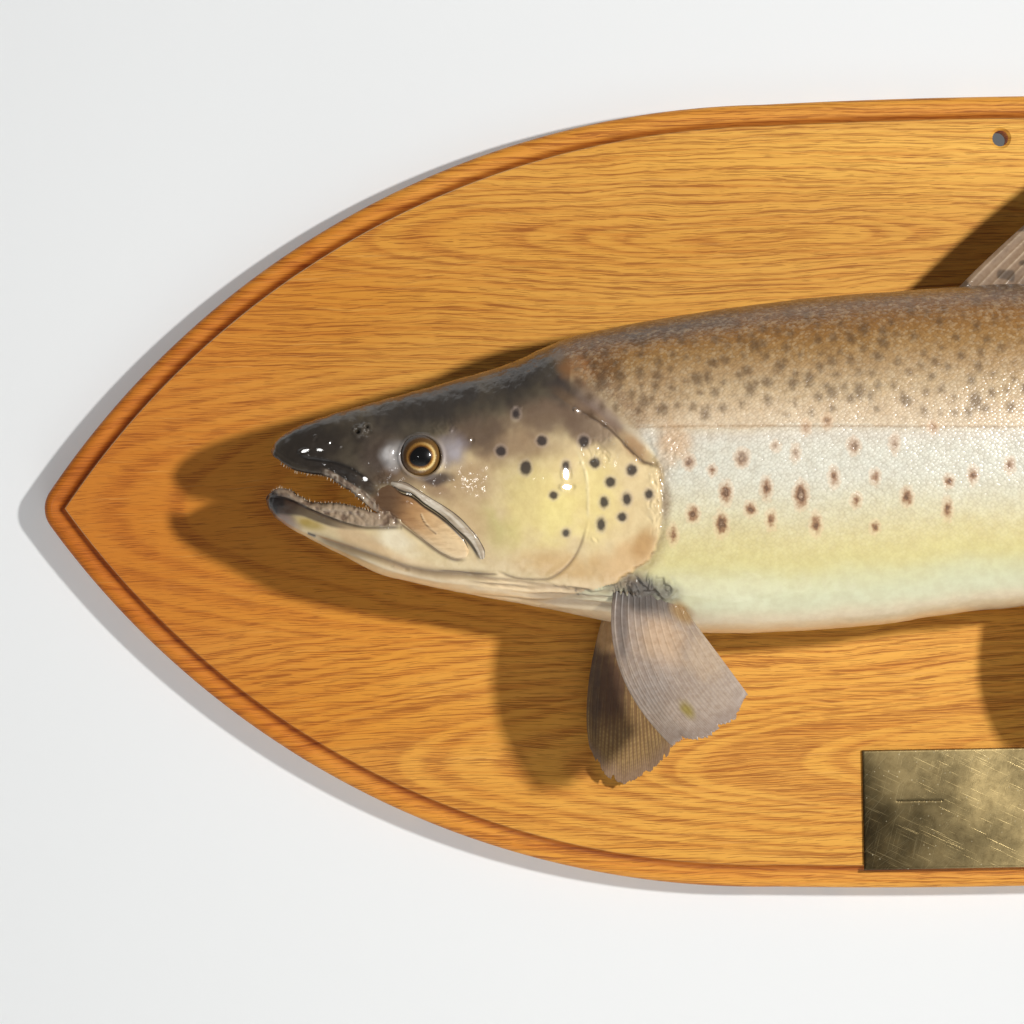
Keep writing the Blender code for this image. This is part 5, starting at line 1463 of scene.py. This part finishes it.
def skin_look():
    """Varnished skin: painted colours, soft spots, fine scales and a wet gloss."""
    look = Look("trout_skin", roughness=0.4, specular=0.3, coat_weight=0.75)
    scaled = look.attribute("scaled")
    mottled = look.attribute("mottled")
    bold = look.attribute("bold")
    around = look.attribute("scale_place", 1)
    lattice = look.place((1.4, 1.4, 1.0), (0.0, 0.0, SCALES_TURN), around)
    scales = look.cells(lattice, 0.7)
    tone = look.add("SeparateColor", {0: look.cells(lattice, 0.7, 1)})
    fine = look.noise(look.place(900.0))
    grain = look.noise(look.place(340.0), detail=4.0, roughness=0.7)
    blotch = look.noise(look.place(190.0), detail=3.0, roughness=0.6)
    ragged = look.times_plus(look.noise(look.place(520.0)), 2.6, -1.3)
    speckle = look.math("ADD", look.attribute("speckles"), ragged)
    brown = look.math("ADD", look.attribute("brown_spots"), ragged)
    black = look.times_plus(ragged, 0.4, look.attribute("black_spots"))
    look.colour = look.attribute("paint", 0)
    look.paint(
        # Single scales a little lighter or darker, with darker joints between them
        (look.times(scaled, look.ranged(tone, 0.4, 1.0, 0.14)), (255, 238, 204), "SCREEN"),
        (look.times(scaled, look.ranged(scales, 0.35, 0.75, 0.16)), (120, 92, 66), "MULTIPLY"),
        # Golden and brown grain over the back
        (look.times(mottled, look.ranged(grain, 0.5, 0.7, 0.22)), (226, 190, 138)),
        (look.times(mottled, look.ranged(grain, 0.5, 0.32, 0.2)), (102, 76, 50)),
        (look.ranged(blotch, 0.3, 0.7, 0.2), (200, 178, 150), "MULTIPLY"),
        (look.ranged(speckle, 1.7, -1.6, 0.62), (86, 64, 44)),
        # Brown spots: a pale ring, a brown rim, a dark middle and its paler heart
        (look.ranged(brown, 2.0, 0.7, 0.3), (234, 194, 156)),
        (look.times(bold, look.ranged(brown, 0.9, -0.9, 0.8)), (150, 104, 68)),
        (look.times(bold, look.ranged(brown, -0.4, -1.6, 0.72)), (80, 54, 40)),
        (look.ranged(brown, -1.6, -2.4, 0.5), (196, 168, 140)),
        # Black spots in a grey ring
        (look.ranged(black, 1.9, 0.4, 0.3), (190, 170, 158)),
        (look.ranged(black, 0.9, -0.8, 0.9), (44, 37, 40)),
    )
    scale_height = look.times(look.times(scales, scales), -1.0)
    scale_bump = look.bump(scale_height, 0.22, scaled)
    # The varnish lies in ripples over the head, which break its reflections into small glints
    ripples = look.noise(look.place((250.0, 250.0, 190.0)))
    rippled = look.bump(ripples, 1.1, look.attribute("rippled"), scale_bump)
    look.set(normal=look.bump(fine, 0.1, 0.5, scale_bump), coat_normal=rippled)
    look.set(coat_roughness=look.ranged(scaled, 0.0, 1.0, 0.22, 0.09))
    return look


def spot_fields(x, z, side, part):
    """Each point's distance to the edges of the black spots, brown spots and speckles."""
    speckles = scatter(*BACK_SPECKLES)
    rear_spots = scatter(*REAR_SPOTS)
    high = [spot for spot in FLANK_SPOTS if spot[1] > lateral_at(spot[0]) + 4]
    speckles += [(sx, sz, radius + 0.5) for sx, sz, radius in high]
    flank = [spot for spot in FLANK_SPOTS if spot not in high] + rear_spots
    mirrored = [(sx + 5.0, sz - 1.5, radius) for sx, sz, radius in flank]
    fields = {}
    for name, near_spots, far_spots, tall in (
        ("black_spots", GILL_SPOTS, GILL_SPOTS, 1.0),
        ("brown_spots", flank, mirrored, 1.25),
        ("speckles", speckles, speckles, 1.0),
    ):
        near, far = (spot_field(spots, x, z, tall) for spots in (near_spots, far_spots))
        field = np.where(side == NEAR, near, far)
        fields[name] = np.where(part == INSIDE_MOUTH, SPOT_REACH, field)
    return fields


def gloss_fields(x, z, part, ahead):
    """Where the skin is scaled, mottled, boldly spotted and rippled, each from 0 to 1."""
    above = z - lateral_at(x)
    below = -above / (lateral_at(x) - bottom_at(x))
    scaled = smooth_step(1.5, -3.5, ahead) * (part == BODY) * smooth_step(0.85, 0.25, below)
    mottled = smooth_step(1.5, -6.0, ahead) * smooth_step(-5.0, 12.0, above)
    # The spots fade towards the lateral line, unevenly
    pale = smooth_step(-24.0, -8.0, above) * (0.75 + 0.5 * noise(65, x / 9, z / 9))
    dark = smooth_step(-8.0, 6.0, z - dark_top_at(x)) * (x < -150)
    rippled = 0.22 + (0.6 * dark - 0.02) * smooth_step(-6.0, 3.0, ahead)
    rippled = np.maximum(rippled, bell(oval(x, z, *WET_FOLDS), 1.0))
    for glint in GLINTS:
        rippled *= smooth_step(1.0, 1.6, oval(x, z, *glint[:-1]))
    bold = np.clip(1 - 0.55 * pale, 0.0, 1.0)
    return {"scaled": scaled, "mottled": mottled, "bold": bold, "rippled": rippled}


def mirror_lights(points, outer):
    """Flattens and tilts small patches of skin until they mirror their light into the camera."""
    camera = np.array(bpy.context.scene.camera.location) / MM
    for *place, light in GLINTS:
        x, z = place[:2]
        reach = oval(points[:, 0], points[:, 2], *place)
        near = outer & (reach < 1.8)
        level = points[near & (reach < 0.9), 1].mean()
        middle = np.array([x, level, z])
        facing = unit(camera - middle) + unit(np.array(light[0]) / MM - middle)
        slope = facing[0] * (points[near, 0] - x) + facing[2] * (points[near, 2] - z)
        flat = level - slope / facing[1]
        points[near, 1] += (flat - points[near, 1]) * smooth_step(1.8, 1.0, reach[near])


def make_skin():
    """The whole fish's skin but for its fins and eyes, from the jaws' tips to the tail fin's base."""
    points, faces, part, around = skin_shape()
    x, y, z = points.T
    side = np.where(y < middle_at(x), NEAR, FAR)
    gill, gill_share = np.full(x.shape, FAR_BEHIND), np.zeros(x.shape)
    ahead = np.full(x.shape, FAR_BEHIND)
    front = x < HEAD_PAINT_END
    gill[front], gill_share[front] = depth_within(GILL_EDGE, GILL_CLOSES, x[front], z[front])
    ahead[front] = depth_within(SCALES_BEGIN, HEAD_CLOSES, x[front], z[front])[0]
    state = (x, z, part, gill, gill_share, ahead)
    fields = {
        **spot_fields(x, z, side, part),
        "scale_place": stacked(x / SCALE_LENGTH, around / SCALE_HEIGHT, 0.0),
        **gloss_fields(x, z, part, ahead),
        "paint": skin_paint(*state),
    }
    skin = make_piece("fish_skin", points, faces, skin_look(), "flank_skin", SKIN_NODES, fields)
    normals = np.empty(points.size)
    skin.data.vertex_normals.foreach_get("vector", normals)
    finished = points + normals.reshape(-1, 3) * skin_relief(*state)[:, None]
    mirror_lights(finished, (side == NEAR) & (part <= JAW))
    finished[:, 1] = np.minimum(finished[:, 1], BACK_LIMIT)
    skin.data.vertices.foreach_set("co", (finished * MM).ravel())
    skin.data.update()


# Upper jaw bones on the cheek: each has an upper and a lower edge, (x, height) from front to back
MAXILLA = dict(
    upper=[
        (-292.5, 8.0), (-282.0, 8.7), (-275.4, 4.4), (-271.6, 3.3), (-265.8, -1.2), (-258.2, -6.5),
        (-250.7, -13.6), (-246.9, -18.6), (-245.6, -22.6),
    ],
    lower=[
        (-292.5, 4.0), (-287.0, -3.2), (-280.5, -6.4), (-274.7, -11.1), (-268.9, -15.7), (-264.1, -19.6),
        (-257.2, -24.3), (-251.0, -26.5), (-247.4, -26.0), (-245.7, -23.6),
    ],
    lift=0.6, crown=0.45, emerges=0.4,
)
SUPRAMAXILLA = dict(
    upper=[
        (-282.6, 9.6), (-278.8, 9.6), (-273.3, 8.8), (-269.8, 6.6), (-263.6, 2.4), (-256.7, -1.9),
        (-250.6, -6.3), (-245.1, -12.0), (-240.4, -18.3), (-238.3, -23.9), (-238.8, -27.2),
    ],
    lower=[
        (-282.6, 9.0), (-275.4, 4.9), (-271.6, 3.9), (-265.8, -0.6), (-258.2, -6.0), (-250.7, -13.0),
        (-245.3, -18.0), (-242.6, -22.2), (-240.4, -27.2),
    ],
    lift=0.75, crown=0.18, emerges=0.1,
)
MAXILLA_LINE = [(-267.3, -6.0), (-265.9, -9.1), (-264.2, -11.3), (-260.5, -14.6)]
BONE_COLUMNS = 200
BONE_ROWS = 36
BONE_SINK = 1.6
BONE_DIP = 0.7

# Teeth: start and end along X and number on each side
LOWER_TEETH = (-335.5, -290.0, 34)
UPPER_TEETH = (-331.0, -292.0, 26)
TOOTH_SIDES = 9
TOOTH_RINGS = 6
TOOTH_RISE = 0.7


def bone_look():
    """Thin bony plates under varnished skin, streaked along their length."""
    look = Look("jaw_bone_skin", roughness=0.36, specular=0.3, coat_weight=0.6, coat_roughness=0.1)
    look.colour = look.attribute("paint", 0)
    place = look.place((130.0, 130.0, 520.0), (0.0, -0.75, 0.0))
    streaks = look.noise(place, detail=3.0, roughness=0.6)
    look.paint((look.ranged(streaks, 0.4, 0.7, 0.3), (168, 130, 92), "MULTIPLY"))
    look.set(normal=look.bump(streaks, 0.15, 0.4))
    return look


def bone(plan, side, painted):
    """A leaf of bone flat on the cheek, and its paint."""
    upper, lower = path_through(plan["upper"]), path_through(plan["lower"])
    along = np.linspace(0.0, 1.0, BONE_COLUMNS + 1)[None]
    across = (1 - np.cos(np.linspace(0.0, math.pi, BONE_ROWS + 1)))[:, None] / 2
    place = lower(along) + (upper(along) - lower(along)) * across[..., None]
    x, z = place[..., 0], place[..., 1]
    round_edge = np.clip(1 - (2 * across - 1) ** 10, 0.0, 1.0) ** 0.5
    round_end = np.clip(1 - (2 * along - 1) ** 24, 0.0, 1.0) ** 0.5
    swell = plan["crown"] * np.sin(math.pi * across)
    fibres = 0.08 * noise(71, along * 9, across * 6) + 0.04 * noise(72, along * 40, across * 9)
    # The front end rises out of the snout's skin
    rise = smooth_step(-0.1 * plan["emerges"], plan["emerges"], along)
    lift = (plan["lift"] + swell + fibres + BONE_DIP) * rise - BONE_DIP
    lift = (lift + BONE_SINK) * round_edge * round_end - BONE_SINK
    outer = skin_side(x, z, side, lift)
    inner = skin_side(x, z, side, np.full(x.shape, -BONE_SINK - 0.4))
    points, faces = plate(outer, inner)
    across, along = (np.tile(part.ravel(), 2) for part in np.broadcast_arrays(across, along))
    return (points, faces), painted(points, across, along)


def maxilla_paint(points, across, along):
    paint = np.tile(linear((232, 202, 156)), (len(points), 1))
    behind = smooth_step(0.2, 0.35, along)
    lower_edge = smooth_step(0.3, 0.05, across) * smooth_step(0.4, 0.6, along)
    x, z = points[:, 0], points[:, 2]
    line = distance_to(MAXILLA_LINE, x, z)[0]
    highlight_line = distance_to(MAXILLA_LINE, x - 0.5, z - 0.3)[0]
    for share, colour in (
        (0.95 * smooth_step(0.82, 0.42, along), (200, 154, 102)),
        (0.9 * smooth_step(0.6, 0.28, along), (146, 106, 68)),
        (0.9 * smooth_step(0.42, 0.22, along), (100, 75, 54)),
        (0.4 * lower_edge, (246, 224, 184)),
        (0.95 * smooth_step(0.88, 0.94, across) * behind, (34, 26, 22)),
        (0.8 * smooth_step(0.06, 0.02, across) * behind, (84, 62, 46)),
        # A painted highlight beside the thin line inside the bone
        (0.5 * bell(highlight_line, 0.4), (250, 226, 184)),
        (0.85 * bell(line, 0.3), (92, 62, 40)),
    ):
        tint(paint, share, colour)
    return paint


def supramaxilla_paint(points, across, along):
    paint = np.tile(linear((188, 172, 148)), (len(points), 1))
    streak = noise(73, along * 5, across * 3.5)
    for share, colour in (
        (0.8 * smooth_step(0.45, 0.0, along), (124, 106, 92)),
        # The light streaks are partly painted highlights
        (0.6 * smooth_step(0.1, 0.6, streak), (232, 222, 204)),
        (0.5 * smooth_step(-0.2, -0.7, streak), (118, 100, 84)),
        (0.9 * smooth_step(0.1, 0.04, across), (34, 27, 24)),
        (0.85 * smooth_step(0.88, 0.95, across), (52, 42, 35)),
    ):
        tint(paint, share, colour)
    return paint


def make_bones():
    look = bone_look()
    for side, word in ((NEAR, "near"), (FAR, "far")):
        made = (bone(MAXILLA, side, maxilla_paint), bone(SUPRAMAXILLA, side, supramaxilla_paint))
        shapes, paints = zip(*made)
        make_piece(
            "upper_jaw_bones_" + word, *joined(shapes), look, "head_skin", ["maxilla_" + word],
            {"paint": np.concatenate(paints)},
        )


def tooth(base, tip, radius):
    """One tooth: a slightly hooked cone with a closed blunt tip, as points and faces."""
    axis = tip - base
    across = unit(np.cross(axis, (0.0, 1.0, 0.0)))
    beside = np.cross(unit(axis), across)
    turn = 2 * math.pi * np.arange(TOOTH_SIDES)[:, None] / TOOTH_SIDES
    rings = []
    for share in np.arange(TOOTH_RINGS + 1) / TOOTH_RINGS:
        size = radius * (1 - share**1.5 * 0.97)
        centre = base + axis * share - across * (0.25 * share**2)
        rings.append(centre + size * (np.cos(turn) * across + np.sin(turn) * beside))
    points = np.concatenate(rings)
    return points, capped(points, np.arange(len(points)).reshape(-1, TOOTH_SIDES))


def gum_edge(x, row):
    """The height of a jaw's edge at x and how far it lies from the midplane."""
    if row is LOWER_TEETH:
        z = float(lower_jaw_at(x))
        return z, float(jaw_across(np.array(x), np.array(z)))
    z = float(upper_jaw_at(x))
    parts = (widest_at(x), top_at(x), min(bottom_at(x), z - ROOF_BELOW_EDGE))
    return z, float(section_point(x, angle_at_height(z, *parts), width_at(x), *parts)[0])


def make_teeth():
    look = Look("teeth", roughness=0.25, coat_weight=0.4, coat_roughness=0.1)
    look.between(look.noise(look.place(700.0)), (206, 184, 146), (232, 218, 190))
    draw = random.Random(8)
    teeth = []
    for row, upwards in ((LOWER_TEETH, 1), (UPPER_TEETH, -1)):
        start, end, count = row
        for side, i in itertools.product((NEAR, FAR), range(count)):
            x = start + (end - start) * (i + draw.uniform(-0.35, 0.35)) / (count - 1)
            x = min(max(x, start), end)
            z, reach = gum_edge(x, row)
            large = draw.random() < 0.35
            length = draw.uniform(1.4, 2.1) if large else draw.uniform(0.7, 1.3)
            lean = unit(np.array([-draw.uniform(-0.1, 0.3), side * draw.uniform(0.0, 0.3), upwards]))
            across = side * max(0.0, reach - draw.uniform(0.1, 0.7))
            place = np.array([x, float(middle_at(x)) + across, z + upwards * TOOTH_RISE])
            teeth.append(tooth(place - lean * 1.2, place + lean * length, draw.uniform(0.3, 0.42)))
    make_piece("teeth", *joined(teeth), look, "head_skin", sharp=60)


# Eye: the pupil's radius, and the steps from pole to pole and round the eyeball
PUPIL_RADIUS = 4.4
EYE_ROWS = 90
EYE_COLUMNS = 120
# The radius that stands for the eyeball's back, beyond the rings of colour on its front
BEHIND_EYE = 12.0


def eye_look():
    """Painted glass: a black pupil drawn forwards, a gold ring and a brown surround."""
    look = Look("glass_eye", roughness=0.3, specular=0.1, coat_weight=0.9, coat_roughness=0.02)
    ring = look.attribute("ring")
    ray = look.noise(look.attribute("iris_place", 1), scale=5.0, detail=3.0)
    wobble = look.times_plus(ray, 1.1, look.math("SUBTRACT", ring, 0.55))
    lit = look.ranged(look.attribute("lit"), -8.0, 7.0)
    look.between(look.ranged(wobble, 4.7, 5.6), (110, 70, 24), (196, 148, 72))
    look.paint(
        # A painted highlight on the right of the gold ring
        (look.times(look.ranged(wobble, 5.2, 6.2), look.times(lit, 0.85)), (240, 216, 154)),
        (look.ranged(wobble, 5.9, 7.0), (118, 86, 44)),
        (look.ranged(wobble, 8.0, 9.2), (74, 55, 32)),
        # Painted shade over the eye's left side
        (look.times_plus(lit, -0.7, 0.7), (150, 124, 92), "MULTIPLY"),
        (look.ranged(ring, PUPIL_RADIUS + 0.3, PUPIL_RADIUS - 0.2), (8, 7, 8)),
    )
    return look


def eyeball():
    """The eyeball round the origin, its poles along Y: points and faces."""
    turn = 2 * math.pi * np.arange(EYE_COLUMNS) / EYE_COLUMNS
    tilt = math.pi * np.arange(1, EYE_ROWS)[:, None] / EYE_ROWS
    out = np.sin(tilt)
    rings = stacked(out * np.cos(turn), -np.cos(tilt), out * np.sin(turn))
    ids = np.arange(rings[..., 0].size).reshape(rings.shape[:2])
    poles = [(0.0, -1.0, 0.0), (0.0, 1.0, 0.0)]
    points = np.concatenate([rings.reshape(-1, 3), poles]) * EYE_RADIUS
    fans = fan(ids.size, ids[0]) + fan(ids.size + 1, ids[-1, ::-1])
    return points, outwards(points, ring_faces(ids), fans)


def make_eyes():
    look = eye_look()
    points, faces = eyeball()
    x, y, z = points.T
    radius = np.hypot(x, z)
    angle = np.arctan2(z, -x)
    # The pupil is drawn out to a blunt point towards the snout, a little downwards
    drawn_out = 0.2 * np.maximum(0.0, np.cos(angle + 0.35)) ** 4 * smooth_step(8.0, 5.0, radius)
    spokes = stacked(np.cos(angle) * 3, np.sin(angle) * 3, radius * 0.25)
    for side, word in ((NEAR, "near"), (FAR, "far")):
        centre = skin_side(np.array(EYE_X), np.array(EYE_Z), side)
        centre[1] -= side * (EYE_RADIUS - EYE_STANDS_OUT)
        rings = np.where(y * side < 0, BEHIND_EYE, radius * (1 - drawn_out))
        make_piece(
            "eyeball_" + word, points + centre, faces, look, "glass_eye", ["eye_" + word],
            {"ring": rings, "iris_place": spokes, "lit": x - 0.6 * z},
        )


# The pelvic fins' root, middle and outer line on the near side, and the plane that mirrors them
PELVIC_LINES = [
    [(26, -82, -44), (36, -82, -43), (46, -82, -42)],
    [(25, -87, -74), (40, -90, -73), (56, -88, -64)],
    [(36, -91, -99), (48, -95, -101), (62, -95, -94), (73, -92, -80)],
]
PELVIC_MIDDLE = -64
# Fins: a root, a middle and an outer line of points (x, y, z) from front to back, the number of
# rays, the thickness at these three lines, and the colours
FINS = {
    "pectoral_fin_near": (
        [(-178, -89.5, -32.5), (-164, -89.5, -40), (-150, -87, -49)],
        [(-179.5, -99, -74), (-160, -103, -76), (-134, -99, -71)],
        [(-157, -107, -111), (-144, -112, -108.5), (-131, -111, -103.5), (-124, -106, -96),
         (-120.5, -103, -90)],
        13, (2.6, 0.9, 0.4), "pale",
    ),
    "pectoral_fin_far": (
        [(-180, -42, -40), (-169, -41, -44), (-158, -42, -47)],
        [(-191.5, -35, -84), (-172, -32, -90), (-153, -34, -80)],
        [(-191.6, -31, -116.6), (-184.9, -29, -128.4), (-175.7, -28, -132.3), (-164, -28, -128.8),
         (-151, -30, -113)],
        13, (2.6, 0.9, 0.4), "dark",
    ),
    "pelvic_fin_near": (*PELVIC_LINES, 9, (2.4, 0.9, 0.4), "pale"),
    "pelvic_fin_far": (
        *([(x, 2 * PELVIC_MIDDLE - y, z) for x, y, z in line] for line in PELVIC_LINES),
        9, (2.4, 0.9, 0.4), "dark",
    ),
    "dorsal_fin": (
        [(-24, -64.5, 89), (20, -64.5, 91.5), (57, -64, 89)],
        [(7, -65.5, 118), (42, -67, 118), (68, -65, 100)],
        [(41, -66, 145), (50, -68, 146.5), (63, -70, 138), (73, -69, 124), (79, -67, 109)],
        13, (3.0, 1.1, 0.4), "dorsal",
    ),
    "anal_fin": (
        [(158, -59.5, -29), (182, -58.5, -27), (206, -57, -24)],
        [(168, -59.5, -56), (192, -58, -52), (214, -56.5, -36)],
        [(180, -60, -79), (187, -59, -81.5), (201, -58, -72), (212, -57, -59), (220, -56, -45)],
        10, (2.6, 1.0, 0.4), "pale",
    ),
    "tail_fin": (
        [(303.3, -50, 51.5), (303.3, -50, 14.7), (303.3, -50, -22)],
        [(339, -48.5, 70), (338, -48.5, 14.7), (339, -48.5, -41)],
        [(369, -47.5, 85), (378, -47, 77), (378.5, -46.5, 52), (375, -46, 14.7),
         (378.5, -46.5, -23), (378, -47, -48), (369, -47.5, -56)],
        21, (8.0, 2.0, 0.5), "tail",
    ),
}
# A fin's rays: how far they stand out at the three lines, where they fork and how wide they are
RAY_HEIGHT = [(0.0, 0.4), (0.5, 0.32), (1.0, 0.15)]
RAY_FORKS = [(0.3, 0.8, 0.25), (0.62, 1.0, 0.12)]
RAY_WIDTH = [(0.0, 0.14), (0.5, 0.1), (1.0, 0.055)]
COLUMNS_FOR_EACH_RAY = 22
FIN_ROWS = 110
FIN_ROOT_SINK = 0.09
FIN_NOTCH = 0.018
DORSAL_SPOT_COLOUR = (58, 44, 32)
BLOTCH_COLOUR = (88, 70, 54)
# Colours of web, ray, root and margin, and how strongly each fin is blotched
FIN_COLOURS = {
    "pale": ((170, 152, 138), (194, 176, 156), (120, 110, 102), (158, 140, 128), 0.3),
    "dark": ((124, 94, 58), (192, 162, 102), (170, 134, 92), (142, 116, 98), 0.4),
    "dorsal": ((146, 120, 94), (206, 184, 156), (132, 108, 84), (140, 114, 88), 0.55),
    "tail": ((108, 84, 58), (150, 122, 84), (136, 108, 76), (84, 64, 46), 0.6),
}
# Soft patches on the pectoral fins, as sprays are written
FIN_SPRAYS = {
    "pectoral_fin_near": [
        (-160.0, -65.0, 17.0, 13.0, -60, (210, 178, 144), 0.7),
        (-140.0, -72.0, 13.0, 13.0, -40, (206, 180, 150), 0.5),
        (-177.0, -56.0, 4.0, 24.0, 0, (118, 108, 102), 0.75),
        (-164.0, -84.0, 12.0, 16.0, -30, (168, 156, 148), 0.5),
        (-168.0, -46.0, 20.0, 10.0, -20, (98, 91, 86), 0.95),
        (-150.0, -53.0, 8.0, 5.0, -40, (166, 132, 84), 0.8),
        (-148.3, -96.5, 6.0, 3.6, -50, (150, 132, 58), 0.9),
        (-134.0, -103.0, 15.0, 5.0, 35, (152, 134, 122), 0.6),
    ],
    "pectoral_fin_far": [
        (-182.0, -86.0, 10.0, 26.0, 0, (84, 58, 40), 0.92),
        (-184.0, -64.0, 9.0, 9.0, 0, (182, 146, 100), 0.8),
        (-189.0, -90.0, 4.0, 34.0, 0, (74, 58, 48), 0.7),
    ],
}

# Adipose fin, a small lobe
ADIPOSE_ROOT = (205.0, 66.0)
ADIPOSE_LENGTH = 19.0
ADIPOSE_TIP = (225.0, 87.0)
ADIPOSE_THICK = 4.0
ADIPOSE_SINK = 6.0
ADIPOSE_LEAN = 1.15
ADIPOSE_SLIMMING = (0.15, 0.45)
ADIPOSE_STEPS = 60
ADIPOSE_SIDES = 64
ADIPOSE_COLOUR = (124, 96, 66)
ADIPOSE_TIP_COLOUR = (150, 88, 50)


def fin_look():
    """Dried membrane between silvery rays, under varnish."""
    look = Look("fin_membrane", roughness=0.42, specular=0.3, coat_weight=0.4, coat_roughness=0.18)
    look.colour = look.attribute("paint", 0)
    fine = look.noise(look.place(420.0), detail=3.0, roughness=0.6)
    look.paint((look.ranged(fine, 0.35, 0.7, 0.3), (188, 160, 130), "MULTIPLY"))
    look.set(normal=look.bump(fine, 0.12, 0.5))
    return look


def ray_field(phase, along):
    """How strongly each point is on a ray, with rays that fork twice towards the margin."""
    beside = phase - np.floor(phase) - 0.5
    offsets = [0.0]
    for start, end, spread in RAY_FORKS:
        apart = spread * smooth_step(start, end, along)
        offsets = [offset + way * apart for offset in offsets for way in (-1, 1)]
    width = curve_through(RAY_WIDTH)(along)
    return np.max([bell(beside - offset, width) for offset in offsets], axis=0)


def fin_surface(lines):
    """A fin's middle surface: points at shares across it and reaches from its root to its margin."""
    paths = [path_through(line) for line in lines]

    def at(share, reach):
        root, middle, outer = (path(share) for path in paths)
        reach = reach[..., None]
        # A parabola through root, middle and outer point
        parabola = root * (1 - reach) * (1 - 2 * reach) + middle * 4 * reach * (1 - reach)
        return parabola + outer * reach * (2 * reach - 1)

    return at


def fin_paint(name, seed, ray, along, x, z, colours):
    """The colours of a fin's rays, web, root, margin, blotches and patches."""
    web_colour, ray_colour, root_colour, margin_colour, blotched = FIN_COLOURS[colours]
    paint = np.tile(linear(web_colour), (ray.size, 1))
    joints = 0.75 + 0.25 * np.sign(np.sin(along * 260 + 3 * noise(seed, along * 9)))
    tint(paint, 0.55 * ray * np.where(along > 0.35, joints, 1.0), ray_colour)
    tint(paint, 0.8 * smooth_step(0.28, 0.0, along), root_colour)
    tint(paint, 0.6 * smooth_step(0.86, 1.0, along), margin_colour)
    blotches = noise(seed + 4, x / 9, z / 9) + 0.3 * noise(seed + 5, x / 3, z / 3)
    tint(paint, 0.45 * blotched * smooth_step(0.1, 0.6, blotches), BLOTCH_COLOUR)
    if colours == "dorsal":
        spots = smooth_step(0.42, 0.62, noise(seed + 6, x / 5.5, z / 5.5))
        tint(paint, 0.7 * spots, DORSAL_SPOT_COLOUR)
    spray(paint, x, z, FIN_SPRAYS.get(name, []))
    return np.clip(paint, 0.0, 1.0)


def make_fin(name, look, root, middle, outer, rays, thickness, colours):
    """A thin fan with forked rays and a frayed margin, its root sunk in the body."""
    surface = fin_surface((root, middle, outer))
    thickness_at = curve_through(list(zip((0.0, 0.5, 1.0), thickness)))
    seed = sum(ord(letter) for letter in name)
    across = np.linspace(0.0, 1.0, rays * COLUMNS_FOR_EACH_RAY + 1)[None]
    along = np.linspace(-FIN_ROOT_SINK, 1.0, FIN_ROWS + 1)[:, None]
    outward = np.clip(along, 0.0, 1.0)
    bend = 0.12 * noise(seed, across * 5, along * 3)
    phase = across * rays + bend * outward
    ray = ray_field(phase, outward)
    web = 1 - np.abs(np.sin(math.pi * phase))
    tears = np.clip(noise(seed + 1, phase * 1.7) - 0.35, 0.0, 1.0)
    frayed = 1 + 0.4 * noise(seed + 2, phase * 9)
    notch = FIN_NOTCH * frayed * (0.9 + 0.3 * web)
    notch += 0.018 * noise(seed + 7, phase * 0.8) + 0.07 * tears**1.5
    share = np.broadcast_to(across, phase.shape)
    reach = along * (1 + (FIN_NOTCH - notch) * outward**3)
    step = 0.01
    low, high = np.clip(share - step, 0.0, 1.0), np.clip(share + step, 0.0, 1.0)
    sideways = surface(high, reach) - surface(low, reach)
    normal = unit(np.cross(sideways, surface(share, reach + step) - surface(share, reach - step)))
    ripple = 0.5 * noise(seed + 3, across * 7, along * 2.5) * outward
    centre = surface(share, reach) + normal * ripple[..., None]
    margin = np.minimum(1.0, np.minimum(across, 1 - across) * 30) ** 0.5
    half = thickness_at(outward) / 2 * (0.25 + 0.75 * margin)
    half = half + ray * curve_through(RAY_HEIGHT)(outward) / 2
    half = half * (0.3 + 0.7 * smooth_step(1.02, 0.93, along))
    points, faces = plate(centre + normal * half[..., None], centre - normal * half[..., None])
    flat_along = np.broadcast_to(outward, share.shape).ravel()
    x, _, z = centre.reshape(-1, 3).T
    paint = fin_paint(name, seed, ray.ravel(), flat_along, x, z, colours)
    painted = {"paint": np.tile(paint, (2, 1))}
    make_piece(name + "_rayed", points, faces, look, "fin_membrane", [name], painted)


def make_adipose(look):
    """A small fleshy lobe that leans back."""
    share = np.linspace(0.0, 1.0, ADIPOSE_STEPS + 1)[:, None]
    angle = 2 * math.pi * np.arange(ADIPOSE_SIDES)[None] / ADIPOSE_SIDES
    shorter, thinner = ADIPOSE_SLIMMING
    x = ADIPOSE_ROOT[0] + (ADIPOSE_TIP[0] - ADIPOSE_ROOT[0]) * share**ADIPOSE_LEAN
    z = ADIPOSE_ROOT[1] - ADIPOSE_SINK + (ADIPOSE_TIP[1] - ADIPOSE_ROOT[1] + ADIPOSE_SINK) * share
    rounding = np.sqrt(np.maximum(0.002, 1 - share**3))
    half_length = ADIPOSE_LENGTH / 2 * (1 - shorter * share) * rounding
    half_thick = ADIPOSE_THICK / 2 * (1 - thinner * share) * np.sqrt(rounding)
    y = float(middle_at(ADIPOSE_ROOT[0])) + half_thick * np.sin(angle)
    points = stacked(x + half_length * np.cos(angle), y, z).reshape(-1, 3)
    faces = capped(points, np.arange(len(points)).reshape(-1, ADIPOSE_SIDES))
    x, _, z = points.T
    paint = np.tile(linear(ADIPOSE_COLOUR), (len(points), 1))
    tint(paint, 0.7 * smooth_step(72.0, 88.0, z + noise(90, x / 4, z / 4) * 3), ADIPOSE_TIP_COLOUR)
    painted = {"paint": paint}
    make_piece("adipose_lobe", points, faces, look, "fin_membrane", ["adipose_fin"], painted)


make_camera()
make_lights()
make_stage()
make_board()
make_plaque()
make_skin()
make_bones()
make_teeth()
make_eyes()
membrane = fin_look()
for fin_name, fin_plan in FINS.items():
    make_fin(fin_name, membrane, *fin_plan)
make_adipose(membrane)
